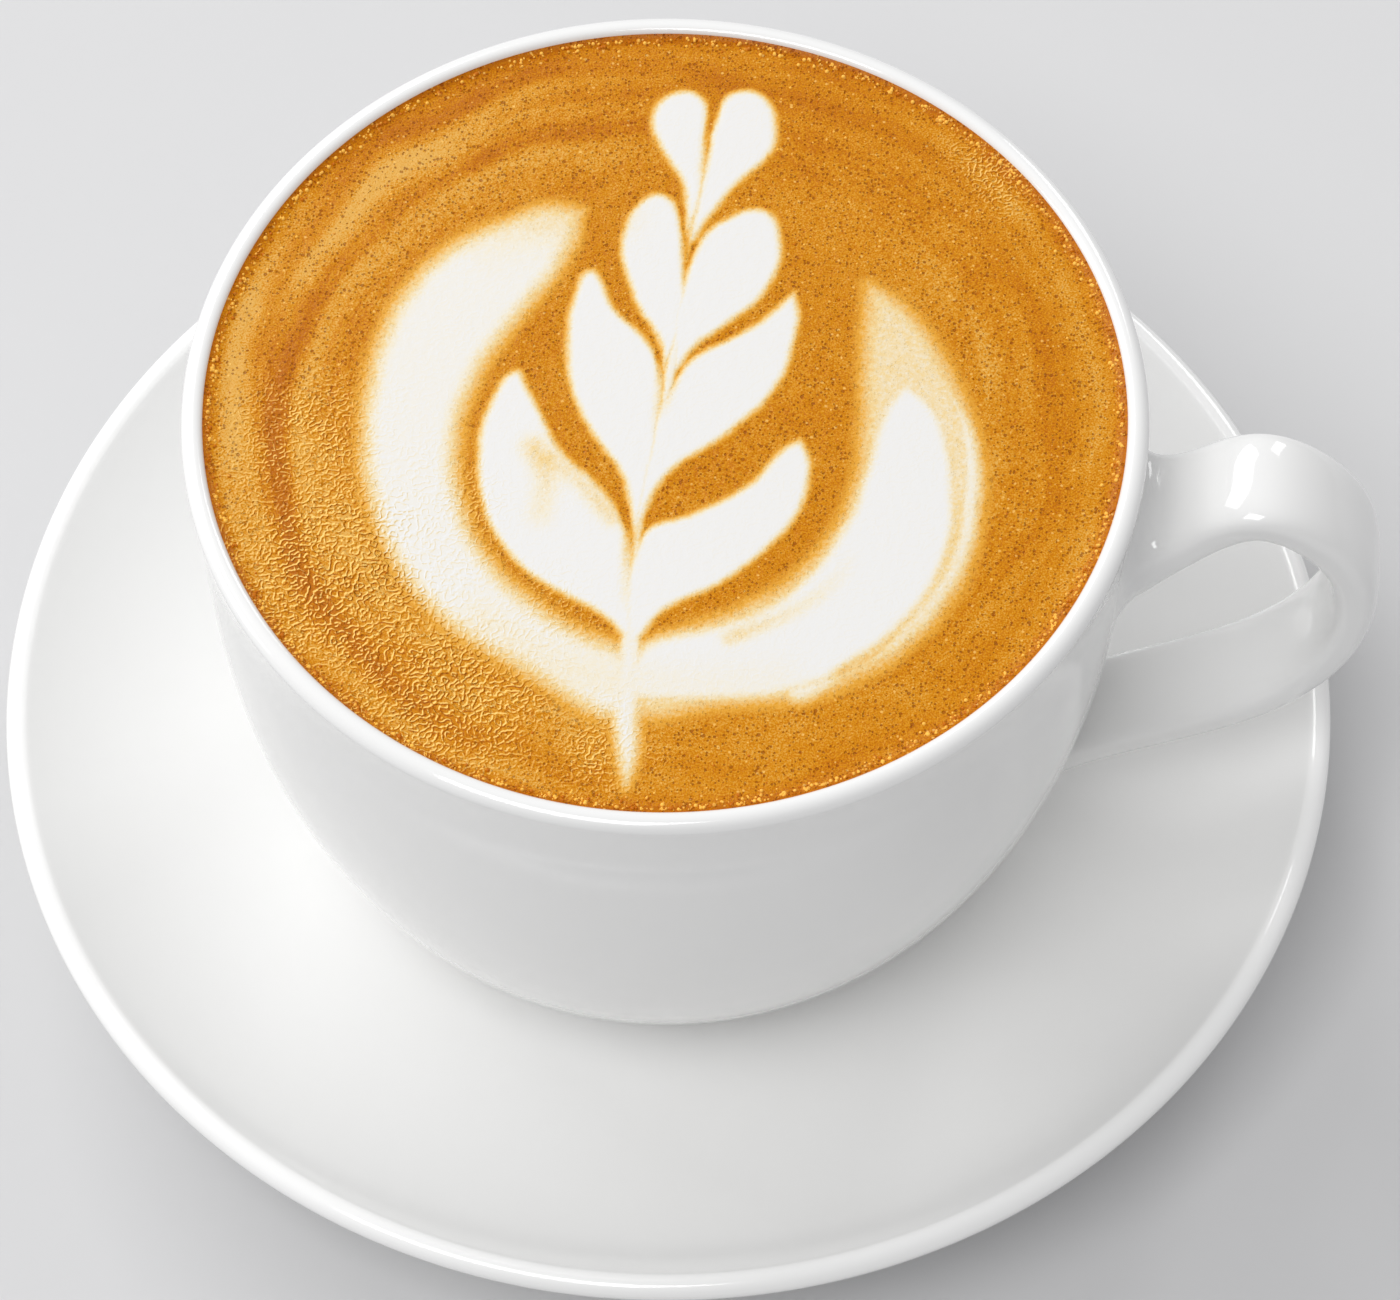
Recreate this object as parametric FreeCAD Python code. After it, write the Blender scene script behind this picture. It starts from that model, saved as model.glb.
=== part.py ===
"""A brim-full latte in a round-bellied porcelain cup, standing on its saucer.

Millimetres, +Z up. The origin is on the surface that the saucer stands on, under the
axis of the cup, and the handle points along +X. Three solids: saucer, cup and latte.
"""

import FreeCAD, Part
import bisect
import math
import os

V = FreeCAD.Vector
AXIS_BASE = V(0, 0, 0)
AXIS_UP = V(0, 0, 1)

# ---- cup body ----
cup_height = 75.5  # from the foot's underside to the top of the lip
rim_radius = 50.0  # outside of the flared lip
belly_radius = 49.0  # outside of the upright wall under the flare
flare_depth = 11.0  # how far below the lip the flare starts
shoulder_depth = 13.0  # how far below the lip the wall starts to turn in
belly_fullness = 2.4  # exponent of the belly's curve: 2 is an ellipse, more is fuller
cup_foot_radius = 32.0  # outside of the foot ring
cup_foot_height = 2.0
cup_foot_width = 3.2
cup_foot_recess = 1.6  # height of the hollow inside the foot ring, and how far its side leans in
lip_thickness = 2.3  # the lip is fully rounded
wall_thickness = 3.6
wall_taper_depth = 16.0  # from the lip down to where the wall has its full thickness
floor_thickness = 4.2
inner_corner = 9.0  # height over which the inner wall turns into the floor
inner_corner_reach = 1.25  # its length along the floor, as a share of that height
foot_chamfer = 0.5  # on both edges of each foot ring

# ---- handle: a broad strap bent into an ear ----
handle_reach = 75.8  # from the cup's axis to the outside of the grip
handle_width = 11.8  # across the strap, along Y
handle_thickness = 5.4  # at the top of the loop
handle_lower_thickness = 4.4  # along the lower arm
handle_squareness = 3.4  # exponent of the section: 2 is an ellipse, more is boxier
root_sink = 2.4  # how far both ends run into the wall before the hollow is cut
upper_flare = 2.3  # how much the strap grows on each side where it leaves the upper wall
upper_flare_length = 13.0
lower_flare = 1.3  # the same where it runs back into the belly
lower_flare_length = 16.0
upper_root_drop = 17.2  # below the lip
neck_out = 5.0  # beyond the upright wall, as are the next four
neck_drop = 13.2
crest_out = 12.6
crest_drop = 7.7
shoulder_out = 20.6
shoulder_drop = 12.6
grip_drop = 23.5
heel_out = 17.0
heel_drop = 42.0
lower_arm_out = 6.2
lower_arm_drop = 50.9
lower_root_drop = 62.5

# ---- drink ----
drink_drop = 1.0  # from the top of the lip to the drink's edge
drink_crown = 0.35  # how much higher the middle stands than the edge

# ---- saucer ----
saucer_radius = 73.8  # outside of the rolled edge
saucer_rise = 15.9  # from the seat to the middle of the rolled edge
saucer_curl = 2.25  # exponent of the rising surface: more is flatter, then steeper
saucer_edge_radius = 1.45  # radius of the rolled edge
saucer_thickness = 3.8
saucer_foot_height = 3.0
saucer_foot_radius = 38.0
saucer_foot_width = 3.4
saucer_foot_taper = 1.2  # how much wider the ring is where it meets the saucer, on each side
seat_recess = 0.6  # depth of the round seat that the cup's foot drops into
seat_clearance = 0.7  # between the foot and the side of that seat

round_pull = 0.58  # how far a corner curve's handles reach, as a share of its height
curve_steps = 22  # sample points on a curved outline
slope_step = 0.1  # how far apart two points are compared for a slope
section_steps = 20  # sample points round one handle section
section_count = 32  # sections along the handle
path_steps = 600  # chords that measure the length of the handle's centre line

# ---- heights that follow ----
seat_z = saucer_foot_height + saucer_thickness
foot_z = seat_z - seat_recess
lip_z = foot_z + cup_height
drink_edge_z = lip_z - drink_drop
lip_round = lip_thickness / 2


def belly_turn():
    """Height of the belly's full curve, from the shoulder down to its virtual pole."""
    share = (cup_foot_radius / belly_radius) ** belly_fullness
    return (cup_height - cup_foot_height - shoulder_depth) / (1 - share) ** (1 / belly_fullness)


def outer_radius(depth):
    """Outside radius of the cup at a depth below the lip: a superellipse plus the flare."""
    turned = max(0.0, depth - shoulder_depth) / belly_turn()
    body = belly_radius * (1 - turned**belly_fullness) ** (1 / belly_fullness)
    flare = max(0.0, 1 - depth / flare_depth)
    return body + (rim_radius - belly_radius) * flare**2


def outer_slope(depth):
    """Change of the outside radius per millimetre of depth."""
    return (outer_radius(depth + slope_step) - outer_radius(depth - slope_step)) / (2 * slope_step)


def wall_at(depth):
    """Thickness of the wall, growing smoothly from the lip to its full value."""
    share = min(1.0, max(0.0, (depth - lip_round) / wall_taper_depth))
    return lip_thickness + (wall_thickness - lip_thickness) * share * share * (3 - 2 * share)


def inner_point(depth):
    """Point of the inside wall, square to the outside wall at the given depth."""
    slope = outer_slope(depth)
    length = math.hypot(1.0, slope)
    wall = wall_at(depth)
    return V(outer_radius(depth) - wall / length, 0, lip_z - depth - wall * slope / length)


def spline(points):
    """Smooth edge through points."""
    curve = Part.BSplineCurve()
    curve.interpolate(Points=points)
    return curve.toShape()


def line(a, b):
    """Straight edge between two points."""
    return Part.LineSegment(a, b).toShape()


def arc(a, middle, b):
    """Round edge through three points."""
    return Part.Arc(a, middle, b).toShape()


def revolve(edges):
    """Solid made by turning a closed outline in the XZ plane about the axis."""
    face = Part.Face(Part.Wire(edges))
    solid = face.revolve(AXIS_BASE, AXIS_UP, 360)
    return Part.Solid(solid.Shells[0]) if solid.ShapeType != "Solid" else solid


def outer_wall():
    """Outside of the cup from the side of the lip down to the foot."""
    first, last = lip_round, cup_height - cup_foot_height
    points = []
    for i in range(curve_steps):
        depth = first + (last - first) * i / (curve_steps - 1)
        points.append(V(outer_radius(depth), 0, lip_z - depth))
    return spline(points), points[0]


def inner_wall():
    """Inside of the cup from the side of the lip down to the middle of the floor."""
    floor_z = foot_z + cup_foot_height + floor_thickness
    first = lip_round
    last = first
    while inner_point(last).z > floor_z + inner_corner:
        last += slope_step
    points = [inner_point(first + (last - first) * i / (curve_steps - 1)) for i in range(curve_steps)]
    end = (points[-1] - inner_point(last - slope_step)).normalize()
    turn = points[-1].z - floor_z
    floor_edge = V(points[-1].x - turn * inner_corner_reach, 0, floor_z)
    corner = Part.BezierCurve()
    pull = turn * round_pull
    corner.setPoles([points[-1], points[-1] + end * pull, floor_edge + V(pull, 0, 0), floor_edge])
    return spline(points), corner.toShape(), line(floor_edge, V(0, 0, floor_z)), points[0]


def cup_block():
    """The cup's outer form as a full solid, still without its hollow."""
    wall, wall_top = outer_wall()
    top = lip_z
    foot_top = V(cup_foot_radius, 0, foot_z + cup_foot_height)
    foot_side = V(cup_foot_radius, 0, foot_z + foot_chamfer)
    foot_low = V(cup_foot_radius - foot_chamfer, 0, foot_z)
    inner = cup_foot_radius - cup_foot_width
    foot_in = V(inner + foot_chamfer, 0, foot_z)
    recess_low = V(inner, 0, foot_z + foot_chamfer)
    recess_top = V(inner - cup_foot_recess, 0, foot_z + cup_foot_recess)
    centre_low = V(0, 0, recess_top.z)
    crown_x = rim_radius - lip_round
    quarter = lip_round * math.sqrt(0.5)
    crown = V(crown_x, 0, top)
    edges = [
        line(V(0, 0, top), crown),
        arc(crown, V(crown_x + quarter, 0, top - lip_round + quarter), wall_top),
        wall,
        line(foot_top, foot_side),
        line(foot_side, foot_low),
        line(foot_low, foot_in),
        line(foot_in, recess_low),
        line(recess_low, recess_top),
        line(recess_top, centre_low),
        line(centre_low, V(0, 0, top)),
    ]
    return revolve(edges)


def hollow():
    """Everything inside the cup's wall and under its lip's inner half."""
    wall, corner, floor, start = inner_wall()
    crown_x = rim_radius - lip_round
    quarter = lip_round * math.sqrt(0.5)
    crown = V(crown_x, 0, lip_z)
    bottom = floor.Vertexes[-1].Point
    edges = [
        line(V(0, 0, lip_z), crown),
        arc(crown, V(crown_x - quarter, 0, lip_z - lip_round + quarter), start),
        wall,
        corner,
        floor,
        line(bottom, V(0, 0, lip_z)),
    ]
    return revolve(edges)


def handle_line():
    """Centre line of the strap in the XZ plane, from inside the upper wall to inside the lower."""
    upper_x = outer_radius(upper_root_drop) - root_sink
    lower_x = outer_radius(lower_root_drop) - root_sink
    grip_x = handle_reach - handle_thickness / 2
    points = [
        V(upper_x, 0, lip_z - upper_root_drop),
        V(belly_radius + neck_out, 0, lip_z - neck_drop),
        V(belly_radius + crest_out, 0, lip_z - crest_drop),
        V(belly_radius + shoulder_out, 0, lip_z - shoulder_drop),
        V(grip_x, 0, lip_z - grip_drop),
        V(belly_radius + heel_out, 0, lip_z - heel_drop),
        V(belly_radius + lower_arm_out, 0, lip_z - lower_arm_drop),
        V(lower_x, 0, lip_z - lower_root_drop),
    ]
    curve = Part.BSplineCurve()
    curve.interpolate(Points=points)
    return curve


def even_places(curve, count):
    """Parameter and distance from the start of evenly spaced places along a curve."""
    first, last = curve.FirstParameter, curve.LastParameter
    fine = [first + (last - first) * i / path_steps for i in range(path_steps + 1)]
    distances = [0.0]
    for a, b in zip(fine, fine[1:]):
        distances.append(distances[-1] + curve.value(a).distanceToPoint(curve.value(b)))
    places = []
    for i in range(count):
        wanted = distances[-1] * i / (count - 1)
        k = min(bisect.bisect_left(distances, wanted), path_steps)
        k = max(k, 1)
        share = (wanted - distances[k - 1]) / (distances[k] - distances[k - 1])
        places.append((fine[k - 1] + (fine[k] - fine[k - 1]) * share, wanted))
    return places


def section_points(centre, along, half_width, half_thickness):
    """Points round a rounded rectangle, a superellipse square to the centre line."""
    out = V(-along.z, 0, along.x)
    power = 2 / handle_squareness
    points = []
    for i in range(section_steps):
        angle = 2 * math.pi * i / section_steps
        c, s = math.cos(angle), math.sin(angle)
        y = half_width * math.copysign(abs(c) ** power, c)
        t = half_thickness * math.copysign(abs(s) ** power, s)
        points.append(centre + V(0, y, 0) + out * t)
    return points


def section_parameters():
    """Distance round the plain section up to each of its points, the same for every section."""
    points = section_points(V(0, 0, 0), V(1, 0, 0), handle_width / 2, handle_thickness / 2)
    distances = [0.0]
    for a, b in zip(points, points[1:] + points[:1]):
        distances.append(distances[-1] + a.distanceToPoint(b))
    return distances


def handle_section(centre, along, half_width, half_thickness):
    """Closed section of the strap as one smooth curve."""
    curve = Part.BSplineCurve()
    curve.interpolate(Points=section_points(centre, along, half_width, half_thickness),
                      PeriodicFlag=True, Parameters=section_parameters())
    return Part.Wire(curve.toShape())


def flare_at(distance, flare, flare_length):
    """Growth of the strap on each side at a distance from the end that is sunk into the wall."""
    near = max(0.0, 1 - max(0.0, distance - root_sink) / flare_length)
    return flare * near**3


def handle():
    """The strap, as a loft through sections that grow where they meet the cup."""
    path = handle_line()
    places = even_places(path, section_count)
    length = places[-1][1]
    wires = []
    for at, distance in places:
        share = distance / length
        grow = flare_at(distance, upper_flare, upper_flare_length)
        grow += flare_at(length - distance, lower_flare, lower_flare_length)
        half_thickness = (handle_thickness * (1 - share) + handle_lower_thickness * share) / 2
        wires.append(handle_section(path.value(at), path.tangent(at)[0],
                                    handle_width / 2 + grow, half_thickness + grow))
    return Part.makeLoft(wires, True, False)


def cup():
    """Bowl, lip, foot ring and handle as one piece of porcelain."""
    return cup_block().fuse(handle()).cut(hollow()).removeSplitter()


def latte():
    """The drink, face to face with the cup's wall, with a barely raised middle."""
    room = hollow()
    top = drink_edge_z + drink_crown
    reach = rim_radius
    dome_radius = (reach**2 + drink_crown**2) / (2 * drink_crown)
    height = cup_height + drink_crown
    below = Part.makeSphere(dome_radius, V(0, 0, top - dome_radius))
    column = Part.makeCylinder(reach, height, V(0, 0, top - height))
    return room.common(column.common(below))


def saucer_top(r):
    """Height of the saucer's upper surface outside the seat, a power curve of the radius."""
    start = cup_foot_radius + seat_clearance
    share = max(0.0, (r - start) / (saucer_radius - saucer_edge_radius - start))
    return seat_z + saucer_rise * share**saucer_curl


def saucer_foot():
    """Outline of the foot ring, from the outside of its top round to the axis."""
    foot_in = saucer_foot_radius - saucer_foot_width
    under_z = saucer_foot_height - seat_recess
    corners = [
        V(saucer_foot_radius, 0, foot_chamfer),
        V(saucer_foot_radius - foot_chamfer, 0, 0),
        V(foot_in + foot_chamfer, 0, 0),
        V(foot_in, 0, foot_chamfer),
        V(foot_in - saucer_foot_taper, 0, under_z),
        V(0, 0, under_z),
    ]
    return corners


def saucer():
    """Saucer with a shallow seat, a rising side, a rolled edge and a foot ring."""
    seat_radius = cup_foot_radius + seat_clearance
    edge_x = saucer_radius - saucer_edge_radius
    slope = (saucer_top(edge_x) - saucer_top(edge_x - slope_step)) / slope_step
    along = V(1, 0, slope).normalize()
    over = V(-along.z, 0, along.x)
    bead = V(edge_x, 0, seat_z + saucer_rise)
    upper = []
    under = []
    under_start = saucer_foot_radius + saucer_foot_taper
    for i in range(curve_steps):
        share = i / (curve_steps - 1)
        r = seat_radius + (edge_x - seat_radius) * share
        upper.append(V(r, 0, saucer_top(r)) + over * saucer_edge_radius * share**4)
        r = under_start + (edge_x - under_start) * share
        drop = V(0, 0, saucer_thickness * (1 - share))
        under.append(V(r, 0, saucer_top(r)) - drop - over * saucer_edge_radius * share**2)
    seat_low = V(seat_radius - seat_recess, 0, foot_z)
    corners = [under[0]] + saucer_foot() + [V(0, 0, foot_z), seat_low, upper[0]]
    edges = [line(a, b) for a, b in zip(corners, corners[1:])]
    edges.append(spline(upper))
    edges.append(arc(upper[-1], bead + along * saucer_edge_radius, under[-1]))
    edges.append(spline(list(reversed(under))))
    return revolve(edges)


def main():
    """Build every piece and write one STEP file for each."""
    os.makedirs("parts", exist_ok=True)
    for name, build in (("saucer", saucer), ("cup", cup), ("latte", latte)):
        shape = build()
        box = shape.BoundBox
        print(f"{name}: {len(shape.Solids)} solid, valid {shape.isValid()}, {shape.Volume / 1000:.1f} cm3, "
              f"z {box.ZMin:.2f} to {box.ZMax:.2f} mm")
        shape.exportStep(f"parts/{name}.step")


main()
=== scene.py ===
"""A brim-full latte in a porcelain cup on its saucer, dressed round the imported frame.

The frame is in metres, +Z up, with the handle along +X. The classes hold their sizes in
millimetres, and skin() turns them into metres where it makes a mesh.
"""

import logging
import math
from collections.abc import Sequence
from dataclasses import dataclass
from enum import Enum

import bpy
import numpy as np
from mathutils import Matrix, Vector


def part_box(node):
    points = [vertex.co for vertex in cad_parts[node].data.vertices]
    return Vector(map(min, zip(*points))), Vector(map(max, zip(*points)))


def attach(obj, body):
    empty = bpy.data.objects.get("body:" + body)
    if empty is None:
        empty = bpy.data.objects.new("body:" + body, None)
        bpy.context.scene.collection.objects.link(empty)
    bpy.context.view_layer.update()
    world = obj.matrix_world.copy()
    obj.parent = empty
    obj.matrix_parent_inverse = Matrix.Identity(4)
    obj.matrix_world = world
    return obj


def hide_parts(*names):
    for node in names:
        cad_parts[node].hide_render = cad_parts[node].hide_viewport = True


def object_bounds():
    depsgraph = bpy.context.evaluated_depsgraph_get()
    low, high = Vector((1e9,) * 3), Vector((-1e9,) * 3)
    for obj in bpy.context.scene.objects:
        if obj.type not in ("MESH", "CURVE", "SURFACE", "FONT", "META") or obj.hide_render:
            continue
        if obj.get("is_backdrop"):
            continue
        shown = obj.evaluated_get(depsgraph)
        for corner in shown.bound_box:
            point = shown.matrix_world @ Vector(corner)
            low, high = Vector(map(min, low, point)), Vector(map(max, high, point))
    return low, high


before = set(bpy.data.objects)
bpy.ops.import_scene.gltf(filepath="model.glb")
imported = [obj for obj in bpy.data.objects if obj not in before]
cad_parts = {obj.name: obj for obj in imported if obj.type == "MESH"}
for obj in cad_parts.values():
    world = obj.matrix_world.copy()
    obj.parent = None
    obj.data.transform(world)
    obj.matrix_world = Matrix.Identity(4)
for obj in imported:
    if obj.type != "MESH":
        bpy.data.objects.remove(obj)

MM = 0.001
FULL_TURN = 2 * math.pi
NEAR_AXIS = 0.4
SLOPE_STEP = 0.1
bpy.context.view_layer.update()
Points = Sequence[tuple[float, float]]
Colour = tuple[float, float, float, float]
Socket = bpy.types.NodeSocket

logging.basicConfig(level=logging.INFO, format="%(name)s: %(message)s")
log = logging.getLogger("latte")


# ---- curves and surfaces ----


def ease(share: np.ndarray) -> np.ndarray:
    """Runs smoothly from 0 to 1: 3 s squared less 2 s cubed, held outside 0 to 1."""
    held = np.clip(share, 0.0, 1.0)
    return held * held * (3 - 2 * held)


def smooth_path(points: np.ndarray, count: int, fineness: int = 12) -> np.ndarray:
    """Natural cubic spline through points over their chord lengths, at evenly spaced places.

    Between two points the place is the straight share of both, plus (a cubed - a) times the
    second derivative at each, times the gap squared over six.

    Args:
        points: one row for each point, of any dimension.
        count: how many places to return.
        fineness: chords worked out for each place returned.

    Returns:
        The places, one row each.
    """
    knots = np.concatenate([[0.0], np.cumsum(np.linalg.norm(np.diff(points, axis=0), axis=1))])
    gap = np.diff(knots)
    slope = np.diff(points, axis=0) / gap[:, None]
    inner = np.arange(1, len(points) - 1)
    system = np.eye(len(points))
    system[inner, inner - 1] = gap[:-1]
    system[inner, inner] = 2 * (gap[:-1] + gap[1:])
    system[inner, inner + 1] = gap[1:]
    bend = np.zeros_like(points)
    bend[1:-1] = 6 * np.diff(slope, axis=0)
    second = np.linalg.solve(system, bend)
    fine = np.linspace(0.0, knots[-1], fineness * count)
    k = np.clip(np.searchsorted(knots, fine, side="right") - 1, 0, len(gap) - 1)
    width = gap[k][:, None]
    before = (knots[k + 1] - fine)[:, None] / width
    after = 1 - before
    curve = before * points[k] + after * points[k + 1]
    curve += ((before**3 - before) * second[k] + (after**3 - after) * second[k + 1]) * width**2 / 6
    return evenly(curve, count)


def evenly(curve: np.ndarray, count: int) -> np.ndarray:
    """Places at equal distances along a line of many short chords.

    Args:
        curve: the chords' ends, one row each.
        count: how many places to return.

    Returns:
        The places, one row each.
    """
    steps = np.linalg.norm(np.diff(curve, axis=0), axis=1)
    distance = np.concatenate([[0.0], np.cumsum(steps)])
    wanted = np.linspace(0.0, distance[-1], count)
    return np.stack([np.interp(wanted, distance, values) for values in curve.T], axis=1)


def rounded(corners: Points, radius: float, steps: int = 7) -> np.ndarray:
    """Outline whose inner corners are eased by short curves pulled towards each corner.

    Each corner becomes (1-t)^2 A + 2t(1-t) P + t^2 B, where A and B lie on its two sides at
    the radius from it, or half way along a shorter side.

    Args:
        corners: the outline's corners in order.
        radius: how far each curve reaches along both sides.
        steps: places on each curve.

    Returns:
        The outline, one row for each place.
    """
    line = np.array(corners, dtype=float)
    sides = np.diff(line, axis=0)
    lengths = np.linalg.norm(sides, axis=1)
    reach = np.minimum(radius, lengths / 2)[:, None] / lengths[:, None] * sides
    corner = line[1:-1, None, :]
    start = corner - reach[:-1, None, :]
    end = corner + reach[1:, None, :]
    t = np.linspace(0.0, 1.0, steps)[None, :, None]
    eased = (1 - t) ** 2 * start + 2 * t * (1 - t) * corner + t**2 * end
    return np.concatenate([line[:1], eased.reshape(-1, 2), line[-1:]])


def turned(profile: np.ndarray, columns: int) -> np.ndarray:
    """Carries a profile round the upright axis: (r cos a, r sin a, z) for every angle a.

    Args:
        profile: radius and height of each row.
        columns: how many places round.

    Returns:
        Points by row, column and axis.
    """
    angle = np.arange(columns) * FULL_TURN / columns
    radius, height = profile[:, :1], profile[:, 1:2]
    return np.stack([radius * np.cos(angle), radius * np.sin(angle),
                     height + np.zeros_like(angle)], axis=-1)


def skin(name: str, grid: np.ndarray, finish: bpy.types.Material, sharp_rows: Sequence[int] = (),
         fields: dict[str, np.ndarray] | None = None) -> bpy.types.Object:
    """Makes a closed mesh of a grid of points, whose first and last rows close on their middles.

    The faces are turned outwards if the solid's volume, a sixth of the sum of a . (b x c) over
    its triangles, comes out negative.

    Args:
        name: name of the piece.
        grid: points in millimetres by row, column and axis; the columns close round.
        finish: the piece's material.
        sharp_rows: rows along which the shading breaks.
        fields: a number for every point of the grid, by attribute name.

    Returns:
        The piece, with its place in its mesh.
    """
    rows, columns = grid.shape[:2]
    ids = np.arange(rows * columns).reshape(rows, columns)
    ahead = np.roll(ids, -1, axis=1)
    quads = np.stack([ids[:-1], ahead[:-1], ahead[1:], ids[1:]], axis=-1).reshape(-1, 4)
    first = np.full(columns, rows * columns)
    start_fan = np.stack([first, ahead[0], ids[0]], axis=-1)
    end_fan = np.stack([first + 1, ids[-1], ahead[-1]], axis=-1)
    points = np.concatenate([grid.reshape(-1, 3), grid[:1].mean(axis=1), grid[-1:].mean(axis=1)]) * MM
    halves = np.concatenate([quads[:, [0, 1, 2]], quads[:, [0, 2, 3]], start_fan, end_fan])
    a, b, c = points[halves[:, 0]], points[halves[:, 1]], points[halves[:, 2]]
    if np.einsum("ij,ij->", a, np.cross(b, c)) < 0:
        quads, start_fan, end_fan = quads[:, ::-1], start_fan[:, ::-1], end_fan[:, ::-1]
    mesh = bpy.data.meshes.new(name)
    mesh.from_pydata(points.tolist(), [], quads.tolist() + start_fan.tolist() + end_fan.tolist())
    mesh.polygons.foreach_set("use_smooth", np.ones(len(mesh.polygons), dtype=bool))
    for label, values in (fields or {}).items():
        full = np.concatenate([values.ravel(), values[:1].mean(axis=1), values[-1:].mean(axis=1)])
        mesh.attributes.new(label, "FLOAT", "POINT").data.foreach_set("value", full.astype(np.float32))
    if len(sharp_rows):
        ends = np.empty(2 * len(mesh.edges), dtype=np.int32)
        mesh.edges.foreach_get("vertices", ends)
        row_of = np.append(np.repeat(np.arange(rows), columns), [-1, -1])[ends.reshape(-1, 2)]
        sharp = (row_of[:, 0] == row_of[:, 1]) & np.isin(row_of[:, 0], np.arange(rows)[list(sharp_rows)])
        mesh.attributes.new("sharp_edge", "BOOLEAN", "EDGE").data.foreach_set("value", sharp)
    mesh.update()
    mesh.materials.append(finish)
    piece = bpy.data.objects.new(name, mesh)
    bpy.context.scene.collection.objects.link(piece)
    return piece


def settle(piece: bpy.types.Object, slot: str, *nodes: str) -> None:
    """Rides a piece on the one body in place of its CAD nodes, and logs its material slot's name.

    Args:
        piece: the finished piece.
        slot: name of the piece's material slot, which is only logged.
        nodes: CAD nodes that the piece stands for.
    """
    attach(piece, "root")
    if nodes:
        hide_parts(*nodes)
    log.info("%s: %d points, slot %s", piece.name, len(piece.data.vertices), slot)


def node_box(node: str) -> tuple[np.ndarray, np.ndarray]:
    """Lowest and highest corners of a CAD node, in millimetres."""
    low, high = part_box(node)
    return np.array(low) / MM, np.array(high) / MM


# ---- finishes ----


def screen(red: float, green: float, blue: float) -> Colour:
    """Linear colour of a screen colour: each part over 12.92, or a power of 2.4 when not dark.

    Args:
        red: red part, in 255ths.
        green: green part, in 255ths.
        blue: blue part, in 255ths.

    Returns:
        Red, green, blue and a full alpha.
    """
    parts = np.array([red, green, blue]) / 255
    low, high = parts / 12.92, ((parts + 0.055) / 1.055) ** 2.4
    return (*np.where(parts <= 0.04045, low, high).tolist(), 1.0)


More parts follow.
